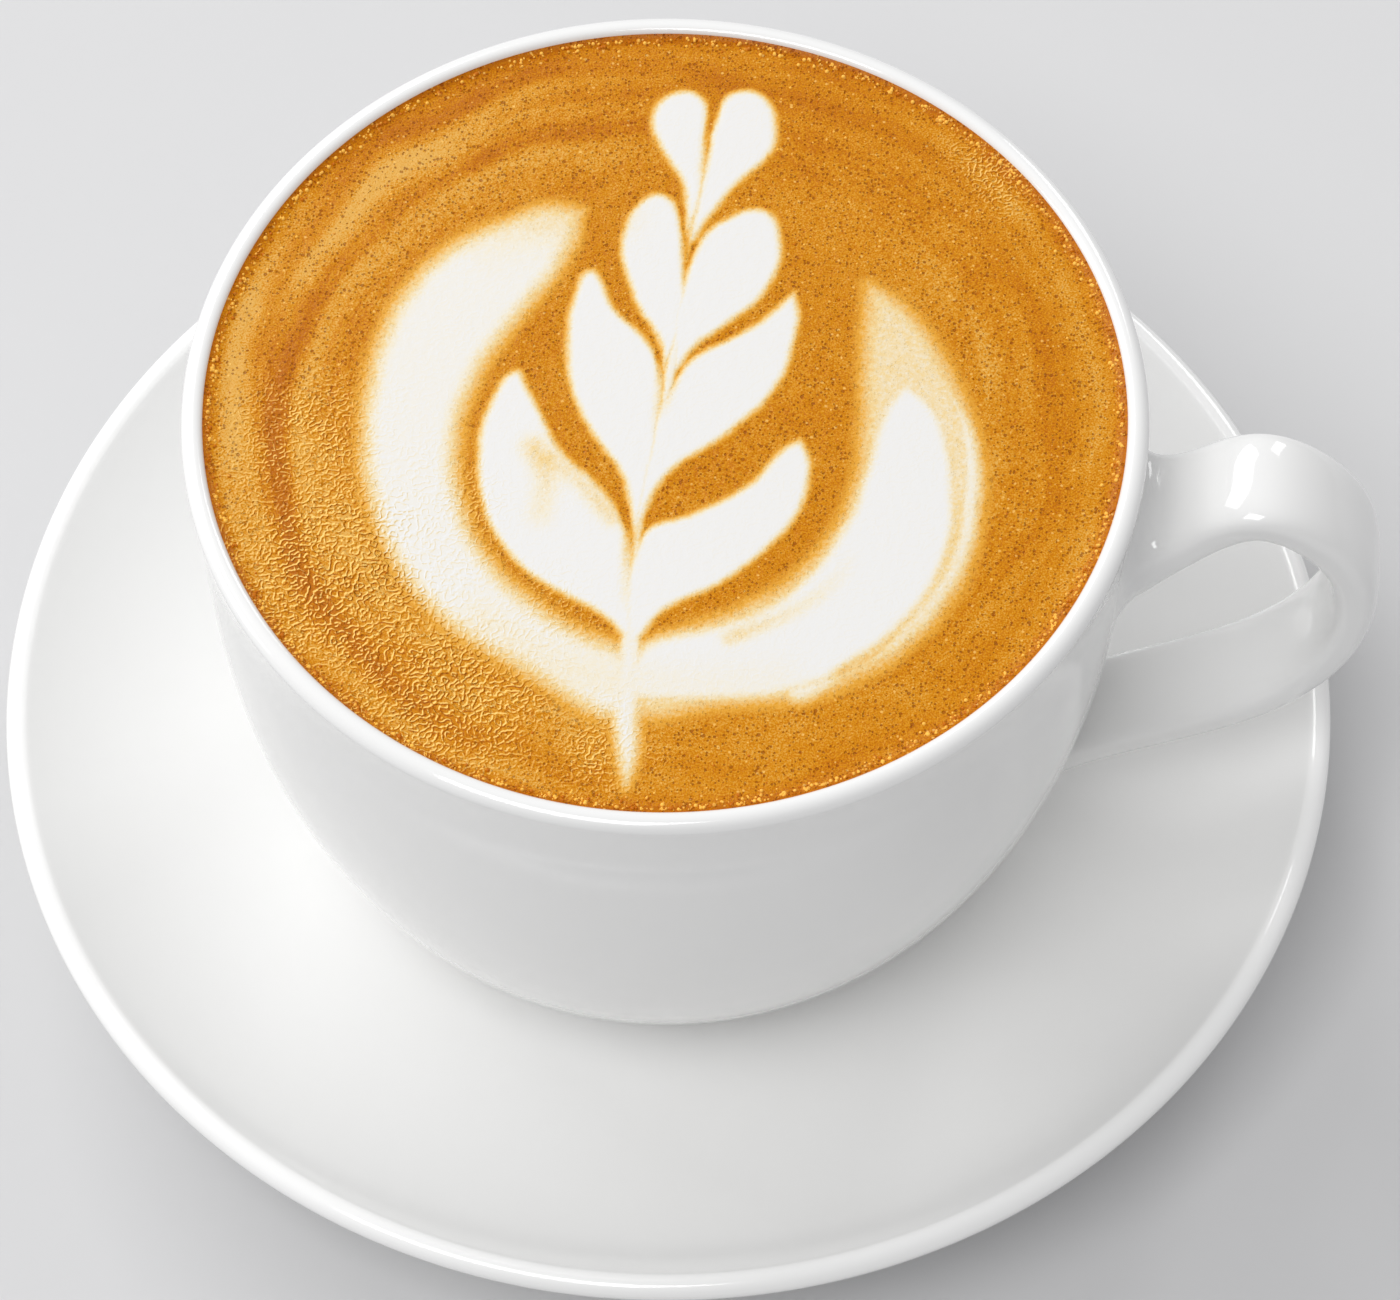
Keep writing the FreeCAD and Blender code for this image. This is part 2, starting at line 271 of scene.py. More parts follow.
class Recipe:
    """A material's node tree, with a short method for each kind of node that it uses."""

    def __init__(self, name: str) -> None:
        """Starts an empty material with its shader and the piece's own coordinates.

        Args:
            name: name of the material.
        """
        self.material = bpy.data.materials.new(name)
        self.material.use_nodes = True
        self.tree = self.material.node_tree
        self.tree.nodes.clear()
        self.shader = self.tree.nodes.new("ShaderNodeBsdfPrincipled")
        output = self.tree.nodes.new("ShaderNodeOutputMaterial")
        self.join(self.shader.outputs["BSDF"], output.inputs["Surface"])
        self.place = self.tree.nodes.new("ShaderNodeTexCoord").outputs["Object"]

    def join(self, value: Socket | float | tuple, target: Socket) -> None:
        """Links a socket to a target, or sets the target's own value.

        Args:
            value: a socket of another node, or a plain value.
            target: the input that takes it.
        """
        if isinstance(value, bpy.types.NodeSocket):
            self.tree.links.new(value, target)
        else:
            target.default_value = value

    def noise(self, scale: float, detail: float = 2.0, roughness: float = 0.5,
              place: Socket | None = None) -> Socket:
        """Cloudy noise.

        Args:
            scale: features to the metre.
            detail: how many finer layers are added.
            roughness: how strong each finer layer is.
            place: where it is read, by default the piece's own coordinates.

        Returns:
            A number from 0 to 1.
        """
        node = self.tree.nodes.new("ShaderNodeTexNoise")
        self.join(place or self.place, node.inputs["Vector"])
        self.join(scale, node.inputs["Scale"])
        self.join(detail, node.inputs["Detail"])
        self.join(roughness, node.inputs["Roughness"])
        return node.outputs["Fac"]

    def cells(self, scale: float) -> tuple[Socket, Socket]:
        """Cells round many scattered points.

        Args:
            scale: cells to the metre.

        Returns:
            The distance to the nearest point in cells, and that cell's random number.
        """
        node = self.tree.nodes.new("ShaderNodeTexVoronoi")
        self.join(self.place, node.inputs["Vector"])
        self.join(scale, node.inputs["Scale"])
        apart = self.tree.nodes.new("ShaderNodeSeparateColor")
        self.join(node.outputs["Color"], apart.inputs["Color"])
        return node.outputs["Distance"], apart.outputs["Red"]

    def field(self, label: str) -> Socket:
        """The number that the mesh holds at each point.

        Args:
            label: the attribute's name.

        Returns:
            The number.
        """
        node = self.tree.nodes.new("ShaderNodeAttribute")
        node.attribute_name = label
        return node.outputs["Fac"]

    def sum(self, operation: str, *values: Socket | float, clamp: bool = False) -> Socket:
        """One sum of one, two or three numbers.

        Args:
            operation: the Math node's word for it.
            values: the numbers, in the order that the node takes them.
            clamp: whether the result is held between 0 and 1.

        Returns:
            The result.
        """
        node = self.tree.nodes.new("ShaderNodeMath")
        node.operation = operation
        node.use_clamp = clamp
        for value, target in zip(values, node.inputs):
            self.join(value, target)
        return node.outputs["Value"]

    def band(self, value: Socket, low: float, high: float, to_low: float = 0.0,
             to_high: float = 1.0) -> Socket:
        """A number that runs smoothly from one value to another as the given one passes a band.

        Args:
            value: the number that passes the band.
            low: where the band starts.
            high: where it ends.
            to_low: the result at the start and before it.
            to_high: the result at the end and past it.

        Returns:
            The result.
        """
        node = self.tree.nodes.new("ShaderNodeMapRange")
        node.interpolation_type = "SMOOTHSTEP"
        for target, number in zip(node.inputs[:5], (value, low, high, to_low, to_high)):
            self.join(number, target)
        return node.outputs["Result"]

    def blend(self, share: Socket | float, first: Socket | tuple, second: Socket | tuple) -> Socket:
        """Colour between two colours.

        Args:
            share: 0 for the first, 1 for the second.
            first: the first colour.
            second: the second colour.

        Returns:
            The colour.
        """
        node = self.tree.nodes.new("ShaderNodeMix")
        node.data_type = "RGBA"
        self.join(share, node.inputs[0])
        self.join(first, node.inputs[6])
        self.join(second, node.inputs[7])
        return node.outputs[2]

    def ramp(self, value: Socket, stops: Sequence[tuple[float, tuple]]) -> Socket:
        """Colour read off a row of colours.

        Args:
            value: the place in the row, from 0 to 1.
            stops: place and colour of each mark, in order.

        Returns:
            The colour.
        """
        node = self.tree.nodes.new("ShaderNodeValToRGB")
        marks = node.color_ramp.elements
        while len(marks) < len(stops):
            marks.new(0.5)
        for mark, (at, colour) in zip(marks, stops):
            mark.position, mark.color = at, colour
        self.join(value, node.inputs["Fac"])
        return node.outputs["Color"]

    def bump(self, height: Socket, depth: float, strength: float, under: Socket | None = None) -> Socket:
        """Relief laid over the relief already there.

        Args:
            height: the relief, from 0 to 1.
            depth: its depth in millimetres.
            strength: how much of it shows.
            under: the relief already there, if any.

        Returns:
            The direction that the surface faces.
        """
        node = self.tree.nodes.new("ShaderNodeBump")
        self.join(height, node.inputs["Height"])
        self.join(depth * MM, node.inputs["Distance"])
        self.join(strength, node.inputs["Strength"])
        if under is not None:
            self.join(under, node.inputs["Normal"])
        return node.outputs["Normal"]

    def height(self) -> Socket:
        """Height of the place above the table.

        Returns:
            The height in metres.
        """
        node = self.tree.nodes.new("ShaderNodeSeparateXYZ")
        self.join(self.place, node.inputs["Vector"])
        return node.outputs["Z"]

    def masked(self, relief: Socket, share: Socket) -> Socket:
        """A relief kept only where a share is high, with the plain surface elsewhere.

        Args:
            relief: the direction that the relief gives.
            share: how much of it stays.

        Returns:
            The direction that the surface faces.
        """
        plain = self.tree.nodes.new("ShaderNodeNewGeometry").outputs["Normal"]
        node = self.tree.nodes.new("ShaderNodeMix")
        node.data_type = "VECTOR"
        self.join(share, node.inputs[0])
        self.join(plain, node.inputs[4])
        self.join(relief, node.inputs[5])
        return node.outputs[1]

    def moved(self, step: tuple[float, float]) -> Socket:
        """The piece's own coordinates, moved along x and y.

        Args:
            step: how far, in millimetres.

        Returns:
            The moved place.
        """
        node = self.tree.nodes.new("ShaderNodeVectorMath")
        node.operation = "ADD"
        self.join(self.place, node.inputs[0])
        self.join((step[0] * MM, step[1] * MM, 0.0), node.inputs[1])
        return node.outputs["Vector"]

    def wear(self, **sockets: Socket | float | tuple) -> bpy.types.Material:
        """Sets the shader's sockets.

        Args:
            sockets: value of each, by its name with underscores for spaces.

        Returns:
            The material.
        """
        for label, value in sockets.items():
            self.join(value, self.shader.inputs[label.replace("_", " ")])
        return self.material


class Glaze(Enum):
    """The whites of the glazed pieces: one porcelain, with the saucer's white painted lighter than the
    cup's for the light that falls on its upward-facing surfaces.
    """

    CUP = screen(232, 232, 231)
    # painted light: the cup's porcelain made whiter for the light on the saucer's upward faces
    SAUCER_LIT = screen(240, 240, 239)


@dataclass(frozen=True)
class Porcelain:
    """Glazed white porcelain, with a bare ring where a foot stood in the kiln."""

    name: str
    glaze: Glaze
    bare_below: float
    bare: Colour = screen(226, 221, 212)
    bare_fade: float = 0.25
    bare_roughness: float = 0.6
    cloud_size: float = 30.8
    cloud_share: float = 0.03
    wave_size: float = 14.0
    wave_depth: float = 0.05
    wave_strength: float = 0.5
    grain_scale: float = 2600.0
    grain_depth: float = 0.05
    grain_strength: float = 0.6
    smear_scale: float = 420.0
    smoothest: float = 0.07
    roughest: float = 0.11
    bend: float = 1.5
    coat: float = 0.35
    coat_roughness: float = 0.05

    def material(self) -> bpy.types.Material:
        """Builds the glaze: slow waves in its surface, faint clouds in its white, a matt foot.

        Returns:
            The material.
        """
        mix = Recipe(self.name)
        clouds = mix.noise(1 / (self.cloud_size * MM), 3.0)
        share = mix.band(clouds, 0.3, 0.7, 0.0, self.cloud_share)
        glazed = mix.blend(share, self.glaze.value, self.bare)
        bare = mix.band(mix.height(), (self.bare_below + self.bare_fade) * MM, self.bare_below * MM)
        grain = mix.noise(self.grain_scale, 3.0)
        colour = mix.blend(bare, glazed, self.bare)
        smears = mix.noise(self.smear_scale)
        gloss = mix.band(smears, 0.2, 0.8, self.smoothest, self.roughest)
        waves = mix.noise(1 / (self.wave_size * MM), 1.0)
        relief = mix.bump(waves, self.wave_depth, self.wave_strength)
        relief = mix.bump(mix.sum("MULTIPLY", grain, bare), self.grain_depth, self.grain_strength, relief)
        rough = mix.sum("ADD", gloss, mix.sum("MULTIPLY", bare, self.bare_roughness))
        return mix.wear(Base_Color=colour, Roughness=rough, Normal=relief, IOR=self.bend,
                        Coat_Weight=self.coat, Coat_Roughness=self.coat_roughness)


@dataclass(frozen=True)
class Crema:
    """Coffee crema and milk foam: one surface that runs from brown through cream to white.

    It reads three fields off the mesh: milk, the amount of milk; tone, from deep to pale crema;
    and froth, how much the fine bubbles roughen the surface, and where the froth's relief is painted
    in light, shade and highlights.
    """

    name: str = "crema_and_foam"
    deep: Colour = screen(174, 95, 1)
    brown: Colour = screen(193, 118, 2)
    amber: Colour = screen(206, 136, 14)
    pale: Colour = screen(217, 166, 80)
    golden: Colour = screen(221, 161, 58)
    cream: Colour = screen(226, 199, 142)
    ivory: Colour = screen(226, 218, 198)
    foam: Colour = screen(223, 222, 220)
    pore: Colour = screen(132, 54, 0)
    # painted highlight colour of the froth's lit crests and of the bubbles' glints
    glint: Colour = screen(252, 207, 116)
    grain_scale: float = 5200.0
    grain_tone: float = 0.32
    cloud_scale: float = 420.0
    cloud_tone: float = 0.07
    net_scale: float = 1500.0
    net_wall: float = 0.12
    net_step: float = 0.06
    # the next two: how strongly the painted light and shade of the froth's walls lightens and darkens the
    # crema, and the milk's edge
    relief_shading_tone: float = 0.95
    relief_shading_milk: float = 0.34
    net_depth: float = 0.09
    break_up: float = 2.7
    break_up_scale: float = 2400.0
    pore_share: float = 0.62
    pore_depth: float = 0.12
    ragged_scale: float = 7500.0
    ragged_share: float = 0.30
    # share of the painted glints on bubbles
    bead_glint_share: float = 0.5
    grain_depth: float = 0.05
    fine_strength: float = 0.8
    crema_gloss: float = 0.26
    foam_gloss: float = 0.42
    bend: float = 1.36
    shine: float = 0.22

    def material(self) -> bpy.types.Material:
        """Builds the surface from the mesh's fields milk, tone and froth.

        Returns:
            The material.
        """
        mix = Recipe(self.name)
        grain = mix.noise(self.grain_scale, 2.0, 0.6)
        froth = mix.field("froth")
        sides = self.sides(mix)
        # painted light and shade of the froth's walls, kept where there is froth
        relief_shading = mix.sum("MULTIPLY", sides, froth)
        milk = self.milk_with_relief_shading(mix, relief_shading)
        pores = self.pores(mix)
        crema = self.crema(mix, grain, relief_shading)
        crema = mix.blend(self.pore_shade(mix, pores, milk, froth), crema, self.pore)
        # painted highlights laid over the crema
        crema = mix.blend(self.glints(mix, sides, froth), crema, self.glint)
        lit = mix.ramp(milk, ((0.28, self.golden), (0.62, self.cream), (0.86, self.ivory),
                              (1.0, self.foam)))
        colour = mix.blend(mix.band(milk, 0.0, 0.34), crema, lit)
        gloss = mix.band(milk, 0.1, 0.9, self.crema_gloss, self.foam_gloss)
        relief = self.relief(mix, grain, pores, milk, froth)
        return mix.wear(Base_Color=colour, Roughness=gloss, Normal=relief, IOR=self.bend,
                        Specular_IOR_Level=self.shine)

    def net(self, mix: Recipe, step: float) -> Socket:
        """Net of froth walls: how far smooth noise is from its middle value, up to a wall's width.

        Args:
            mix: the material's recipe.
            step: how far the net is moved along +X and -Y, in millimetres.

        Returns:
            0 on a wall, 1 between the walls.
        """
        clouds = mix.noise(self.net_scale, 0.5, place=mix.moved((-step, step)))
        return mix.band(mix.sum("ABSOLUTE", mix.sum("SUBTRACT", clouds, 0.5)), 0.0, self.net_wall)

    def sides(self, mix: Recipe) -> Socket:
        """Painted light and shade of the net's walls: lit sides above 0 and shaded sides below, from the
        net moved both ways.

        Args:
            mix: the material's recipe.

        Returns:
            A number from -1 to 1.
        """
        return mix.sum("SUBTRACT", self.net(mix, self.net_step), self.net(mix, -self.net_step))

    def milk_with_relief_shading(self, mix: Recipe, relief_shading: Socket) -> Socket:
        """Amount of milk, broken up by fine bubbles, with the net's painted light and shade laid on it
        where it turns into crema.

        Args:
            mix: the material's recipe.
            relief_shading: the net's sides where there is froth.

        Returns:
            Milk from 0 to 1.
        """
        milk = mix.field("milk")
        turning = mix.sum("MULTIPLY", milk, mix.sum("SUBTRACT", 1.0, milk))
        turning = mix.sum("MULTIPLY", turning, self.break_up)
        jitter = mix.sum("SUBTRACT", mix.noise(self.break_up_scale, 3.0, 0.7), 0.5)
        milk = mix.sum("MULTIPLY_ADD", jitter, turning, milk, clamp=True)
        # painted light and shade of the froth's walls, laid on the milk where it turns into crema
        edge_relief_shading = mix.sum("MULTIPLY", relief_shading, mix.band(milk, 0.02, 0.3, 0.0, self.relief_shading_milk))
        return mix.sum("ADD", milk, edge_relief_shading, clamp=True)

    def crema(self, mix: Recipe, grain: Socket, relief_shading: Socket) -> Socket:
        """Colour of the crema by its tone, with clouds, grain and the painted light and shade of the
        froth's sides in it.

        Args:
            mix: the material's recipe.
            grain: the finest noise.
            relief_shading: the net's sides where there is froth.

        Returns:
            The colour.
        """
        clouds = mix.noise(self.cloud_scale, 3.0, 0.6)
        clouds = mix.band(clouds, 0.25, 0.75, -self.cloud_tone, self.cloud_tone)
        tone = mix.sum("ADD", mix.field("tone"), clouds)
        tone = mix.sum("ADD", tone, mix.band(grain, 0.3, 0.7, -self.grain_tone, self.grain_tone))
        # painted light and shade of the froth's walls, added to the crema's tone
        tone = mix.sum("ADD", tone, mix.sum("MULTIPLY", relief_shading, self.relief_shading_tone), clamp=True)
        return mix.ramp(tone, ((0.0, self.deep), (0.35, self.brown), (0.62, self.amber), (1.0, self.pale)))

    def dots(self, mix: Recipe, scale: float, kept: float, size: float) -> Socket:
        """Ragged round dots: one in each cell whose chance is over a limit.

        Args:
            mix: the material's recipe.
            scale: cells to the metre.
            kept: the limit, from 0 to 1.
            size: radius of the largest dot, in cells.

        Returns:
            1 inside a dot, 0 outside it.
        """
        uneven = mix.sum("SUBTRACT", mix.noise(self.ragged_scale, 1.0), 0.5)
        ragged = mix.sum("MULTIPLY", uneven, self.ragged_share)
        apart, chance = mix.cells(scale)
        reach = mix.band(chance, kept, 1.0, 0.0, size)
        near = mix.sum("SUBTRACT", mix.sum("ADD", reach, ragged), apart)
        return mix.band(near, -0.02, 0.14)

    def pores(self, mix: Recipe) -> Socket:
        """Burst bubbles as round dots of mixed sizes: 1 inside a dot, 0 outside it."""
        return mix.sum("MAXIMUM", self.dots(mix, 1650.0, 0.40, 0.36), self.dots(mix, 2700.0, 0.20, 0.40))

    def pore_shade(self, mix: Recipe, pores: Socket, milk: Socket, froth: Socket) -> Socket:
        """How much the pores darken the crema: less in milk, and less in froth.

        Args:
            mix: the material's recipe.
            pores: the burst bubbles.
            milk: amount of milk.
            froth: amount of froth.

        Returns:
            The pores' share of the colour.
        """
        dark = mix.sum("MULTIPLY", pores, mix.band(milk, 0.0, 0.5, self.pore_share, 0.0))
        return mix.sum("MULTIPLY", dark, mix.band(froth, 0.15, 0.6, 1.0, 0.25))

    def glints(self, mix: Recipe, sides: Socket, froth: Socket) -> Socket:
        """Painted highlights: pale points on the lit sides of the froth, and glints on bubbles painted as
        small pale dots.

        Args:
            mix: the material's recipe.
            sides: the net's sides.
            froth: amount of froth.

        Returns:
            The glints' share of the colour.
        """
        # painted highlights on the lit sides of the froth's walls
        crest_glints = mix.sum("MULTIPLY", mix.band(sides, 0.1, 0.8), mix.band(froth, 0.1, 0.8))
        # painted glints on bubbles, as small pale dots
        bead_glints = mix.sum("MULTIPLY", self.dots(mix, 1700.0, 0.62, 0.32), self.bead_glint_share)
        return mix.sum("MAXIMUM", crest_glints, bead_glints)

    def relief(self, mix: Recipe, grain: Socket, pores: Socket, milk: Socket, froth: Socket) -> Socket:
        """Relief of the froth's walls, the fine grain and the pores, all weaker in milk.

        Args:
            mix: the material's recipe.
            grain: the finest noise.
            pores: the burst bubbles.
            milk: amount of milk.
            froth: amount of froth.

        Returns:
            The direction that the surface faces.
        """
        brown = mix.sum("SUBTRACT", 1.0, milk, clamp=True)
        walls = mix.bump(mix.sum("SUBTRACT", 1.0, self.net(mix, 0.0)), self.net_depth, 1.0)
        walls = mix.masked(walls, mix.sum("MULTIPLY", froth, mix.band(milk, 0.0, 1.0, 1.0, 0.35)))
        fine = mix.sum("MULTIPLY", grain, mix.band(brown, 0.0, 1.0, 0.25, 1.0))
        rough = mix.bump(fine, self.grain_depth, self.fine_strength, walls)
        pits = mix.sum("SUBTRACT", 1.0, mix.sum("MULTIPLY", pores, brown))
        return mix.bump(pits, self.pore_depth, self.fine_strength, rough)


@dataclass(frozen=True)
class BubbleFilm:
    """The thin shining film of small bubbles, in crema colours."""

    name: str = "bubble_film"
    pale: Colour = screen(248, 190, 80)
    brown: Colour = screen(192, 106, 4)
    patch_scale: float = 900.0
    wave_scale: float = 5200.0
    wave_depth: float = 0.02
    wave_strength: float = 0.3
    roughness: float = 0.3
    bend: float = 1.36
    shine: float = 0.3

    def material(self) -> bpy.types.Material:
        """Builds the film, each bubble paler or browner than the next.

        Returns:
            The material.
        """
        mix = Recipe(self.name)
        patches = mix.band(mix.noise(self.patch_scale, 1.0), 0.40, 0.55)
        colour = mix.blend(patches, self.brown, self.pale)
        waves = mix.bump(mix.noise(self.wave_scale, 1.0), self.wave_depth, self.wave_strength)
        return mix.wear(Base_Color=colour, Roughness=self.roughness, Normal=waves, IOR=self.bend,
                        Specular_IOR_Level=self.shine)


@dataclass(frozen=True)
class PaleFloor:
    """The plain pale surface that the saucer stands on."""

    name: str = "pale_floor"
    light: Colour = screen(206, 206, 206)
    shade: Colour = screen(202, 202, 203)
    cloud_scale: float = 6.0
    roughness: float = 0.8

    def material(self) -> bpy.types.Material:
        """Builds a matt surface with faint clouds.

        Returns:
            The material.
        """
        mix = Recipe(self.name)
        colour = mix.blend(mix.noise(self.cloud_scale, 3.0), self.light, self.shade)
        return mix.wear(Base_Color=colour, Roughness=self.roughness)


# ---- porcelain ----


@dataclass
class CupBody:
    """The bowl: upright wall with a flared lip, round belly and foot ring, all turned."""

    rim_radius: float = 50.0
    belly_radius: float = 49.0
    flare_depth: float = 11.0
    shoulder_depth: float = 13.0
    belly_fullness: float = 2.4
    foot_radius: float = 32.0
    foot_height: float = 2.0
    foot_width: float = 3.2
    foot_recess: float = 1.6
    foot_easing: float = 0.7
    lip_thickness: float = 2.3
    wall_thickness: float = 3.6
    wall_taper: float = 16.0
    floor_thickness: float = 4.2
    inner_corner: float = 9.0
    inner_corner_reach: float = 1.25
    inner_corner_pull: float = 0.58
    foot_rise: float = 1.2
    bare_below: float = 0.12
    columns: int = 320
    wall_rows: int = 96
    lip_rows: int = 26
    inner_rows: int = 52
    corner_rows: int = 15
    floor_rows: int = 7

    def __post_init__(self) -> None:
        """Takes the cup's heights from the frame."""
        low, high = node_box("cup")
        self.foot_z = float(low[2])
        self.lip_z = float(high[2])
        self.height = self.lip_z - self.foot_z
        self.lip_round = self.lip_thickness / 2
        share = (self.foot_radius / self.belly_radius) ** self.belly_fullness
        run = self.height - self.foot_height - self.shoulder_depth
        self.belly_turn = run / (1 - share) ** (1 / self.belly_fullness)

    def outer_radius(self, depth: np.ndarray) -> np.ndarray:
        """Outside radius: a superellipse from the shoulder down, and a squared flare above it.

        Args:
            depth: how far below the lip.

        Returns:
            The radius at each depth.
        """
        fall = np.clip((depth - self.shoulder_depth) / self.belly_turn, 0.0, 1.0)
        body = self.belly_radius * (1 - fall**self.belly_fullness) ** (1 / self.belly_fullness)
        flare = np.clip(1 - depth / self.flare_depth, 0.0, None)
        return body + (self.rim_radius - self.belly_radius) * flare**2

    def outer_wall(self, depth: np.ndarray) -> np.ndarray:
        """Outside wall as radius and height, at depths below the lip."""
        return np.stack([self.outer_radius(depth), self.lip_z - depth], axis=-1)

    def inner_wall(self, depth: np.ndarray) -> np.ndarray:
        """Inside wall: the outside moved square to itself by the wall's growing thickness.

        Args:
            depth: how far below the lip each outside point lies.

        Returns:
            Radius and height of each inside point.
        """
        change = self.outer_radius(depth + SLOPE_STEP) - self.outer_radius(depth - SLOPE_STEP)
        slope = change / (2 * SLOPE_STEP)
        length = np.hypot(1.0, slope)
        grown = ease((depth - self.lip_round) / self.wall_taper)
        wall = self.lip_thickness + (self.wall_thickness - self.lip_thickness) * grown
        return self.outer_wall(depth) - np.stack([wall / length, wall * slope / length], axis=-1)

    def lip(self) -> np.ndarray:
        """The round of the lip: middle + half cos(t) + rise sin(t), from outside to inside.

        Returns:
            Radius and height of each row.
        """
        turn = np.linspace(0.0, math.pi, self.lip_rows + 2)[1:-1]
        depth = np.array([self.lip_round])
        outside, inside = self.outer_wall(depth)[0], self.inner_wall(depth)[0]
        middle, half = (outside + inside) / 2, (outside - inside) / 2
        rise = self.lip_z - middle[1]
        return np.stack([middle[0] + half[0] * np.cos(turn),
                         middle[1] + half[1] * np.cos(turn) + rise * np.sin(turn)], axis=-1)

    def well(self) -> np.ndarray:
        """Inside of the bowl from the lip to the middle of its floor, with a curved corner.

        The corner is (1-t)^3 A + 3t(1-t)^2 P + 3t^2(1-t) Q + t^3 B, where P and Q are A and B
        moved along the wall and along the floor towards the corner.

        Returns:
            Radius and height of each row.
        """
        floor_z = self.foot_z + self.foot_height + self.floor_thickness
        depth = np.linspace(self.lip_round, self.height, 600)
        wall = self.inner_wall(depth)
        wall = evenly(wall[wall[:, 1] > floor_z + self.inner_corner], self.inner_rows)
        edge = np.array([wall[-1, 0] - self.inner_corner * self.inner_corner_reach, floor_z])
        down = (wall[-1] - wall[-2]) / np.linalg.norm(wall[-1] - wall[-2])
        pull = self.inner_corner_pull * self.inner_corner
        t = np.linspace(0.0, 1.0, self.corner_rows + 1)[1:, None]
        corner = ((1 - t) ** 3 * wall[-1] + 3 * t * (1 - t) ** 2 * (wall[-1] + down * pull)
                  + 3 * t**2 * (1 - t) * (edge + (pull, 0.0)) + t**3 * edge)
        inwards = np.linspace(edge[0], NEAR_AXIS, self.floor_rows + 1)[1:]
        floor = np.stack([inwards, np.full_like(inwards, floor_z)], axis=-1)
        return np.concatenate([wall, corner, floor])

    def foot(self) -> np.ndarray:
        """Underside from the middle out to the belly's first point, with eased foot edges.

        Returns:
            Radius and height of each row.
        """
        inner = self.foot_radius - self.foot_width
        top = self.foot_z + self.foot_recess
        start = self.foot_z + self.foot_height
        belly = self.outer_wall(np.array(self.height - self.foot_height - self.foot_rise))
        return rounded([(NEAR_AXIS, top), (inner - self.foot_recess, top), (inner, self.foot_z),
                        (self.foot_radius, self.foot_z), (self.foot_radius, start),
                        tuple(belly)], self.foot_easing)

    def build(self) -> bpy.types.Object:
        """Turns the whole profile and dresses it.

        Returns:
            The bowl.
        """
        lowest = self.height - self.foot_height - self.foot_rise - SLOPE_STEP
        depth = np.linspace(lowest, self.lip_round, 700)
        wall = evenly(self.outer_wall(depth), self.wall_rows)
        profile = np.concatenate([self.foot(), wall, self.lip(), self.well()])
        finish = Porcelain("cup_porcelain", Glaze.CUP, self.foot_z + self.bare_below)
        piece = skin("cup_bowl", turned(profile, self.columns), finish.material())
        settle(piece, "porcelain_cup", "cup")
        return piece


class Root(Enum):
    """The two ends of the strap, by the way that its centre line leaves the wall."""

    UPPER = 1
    LOWER = -1


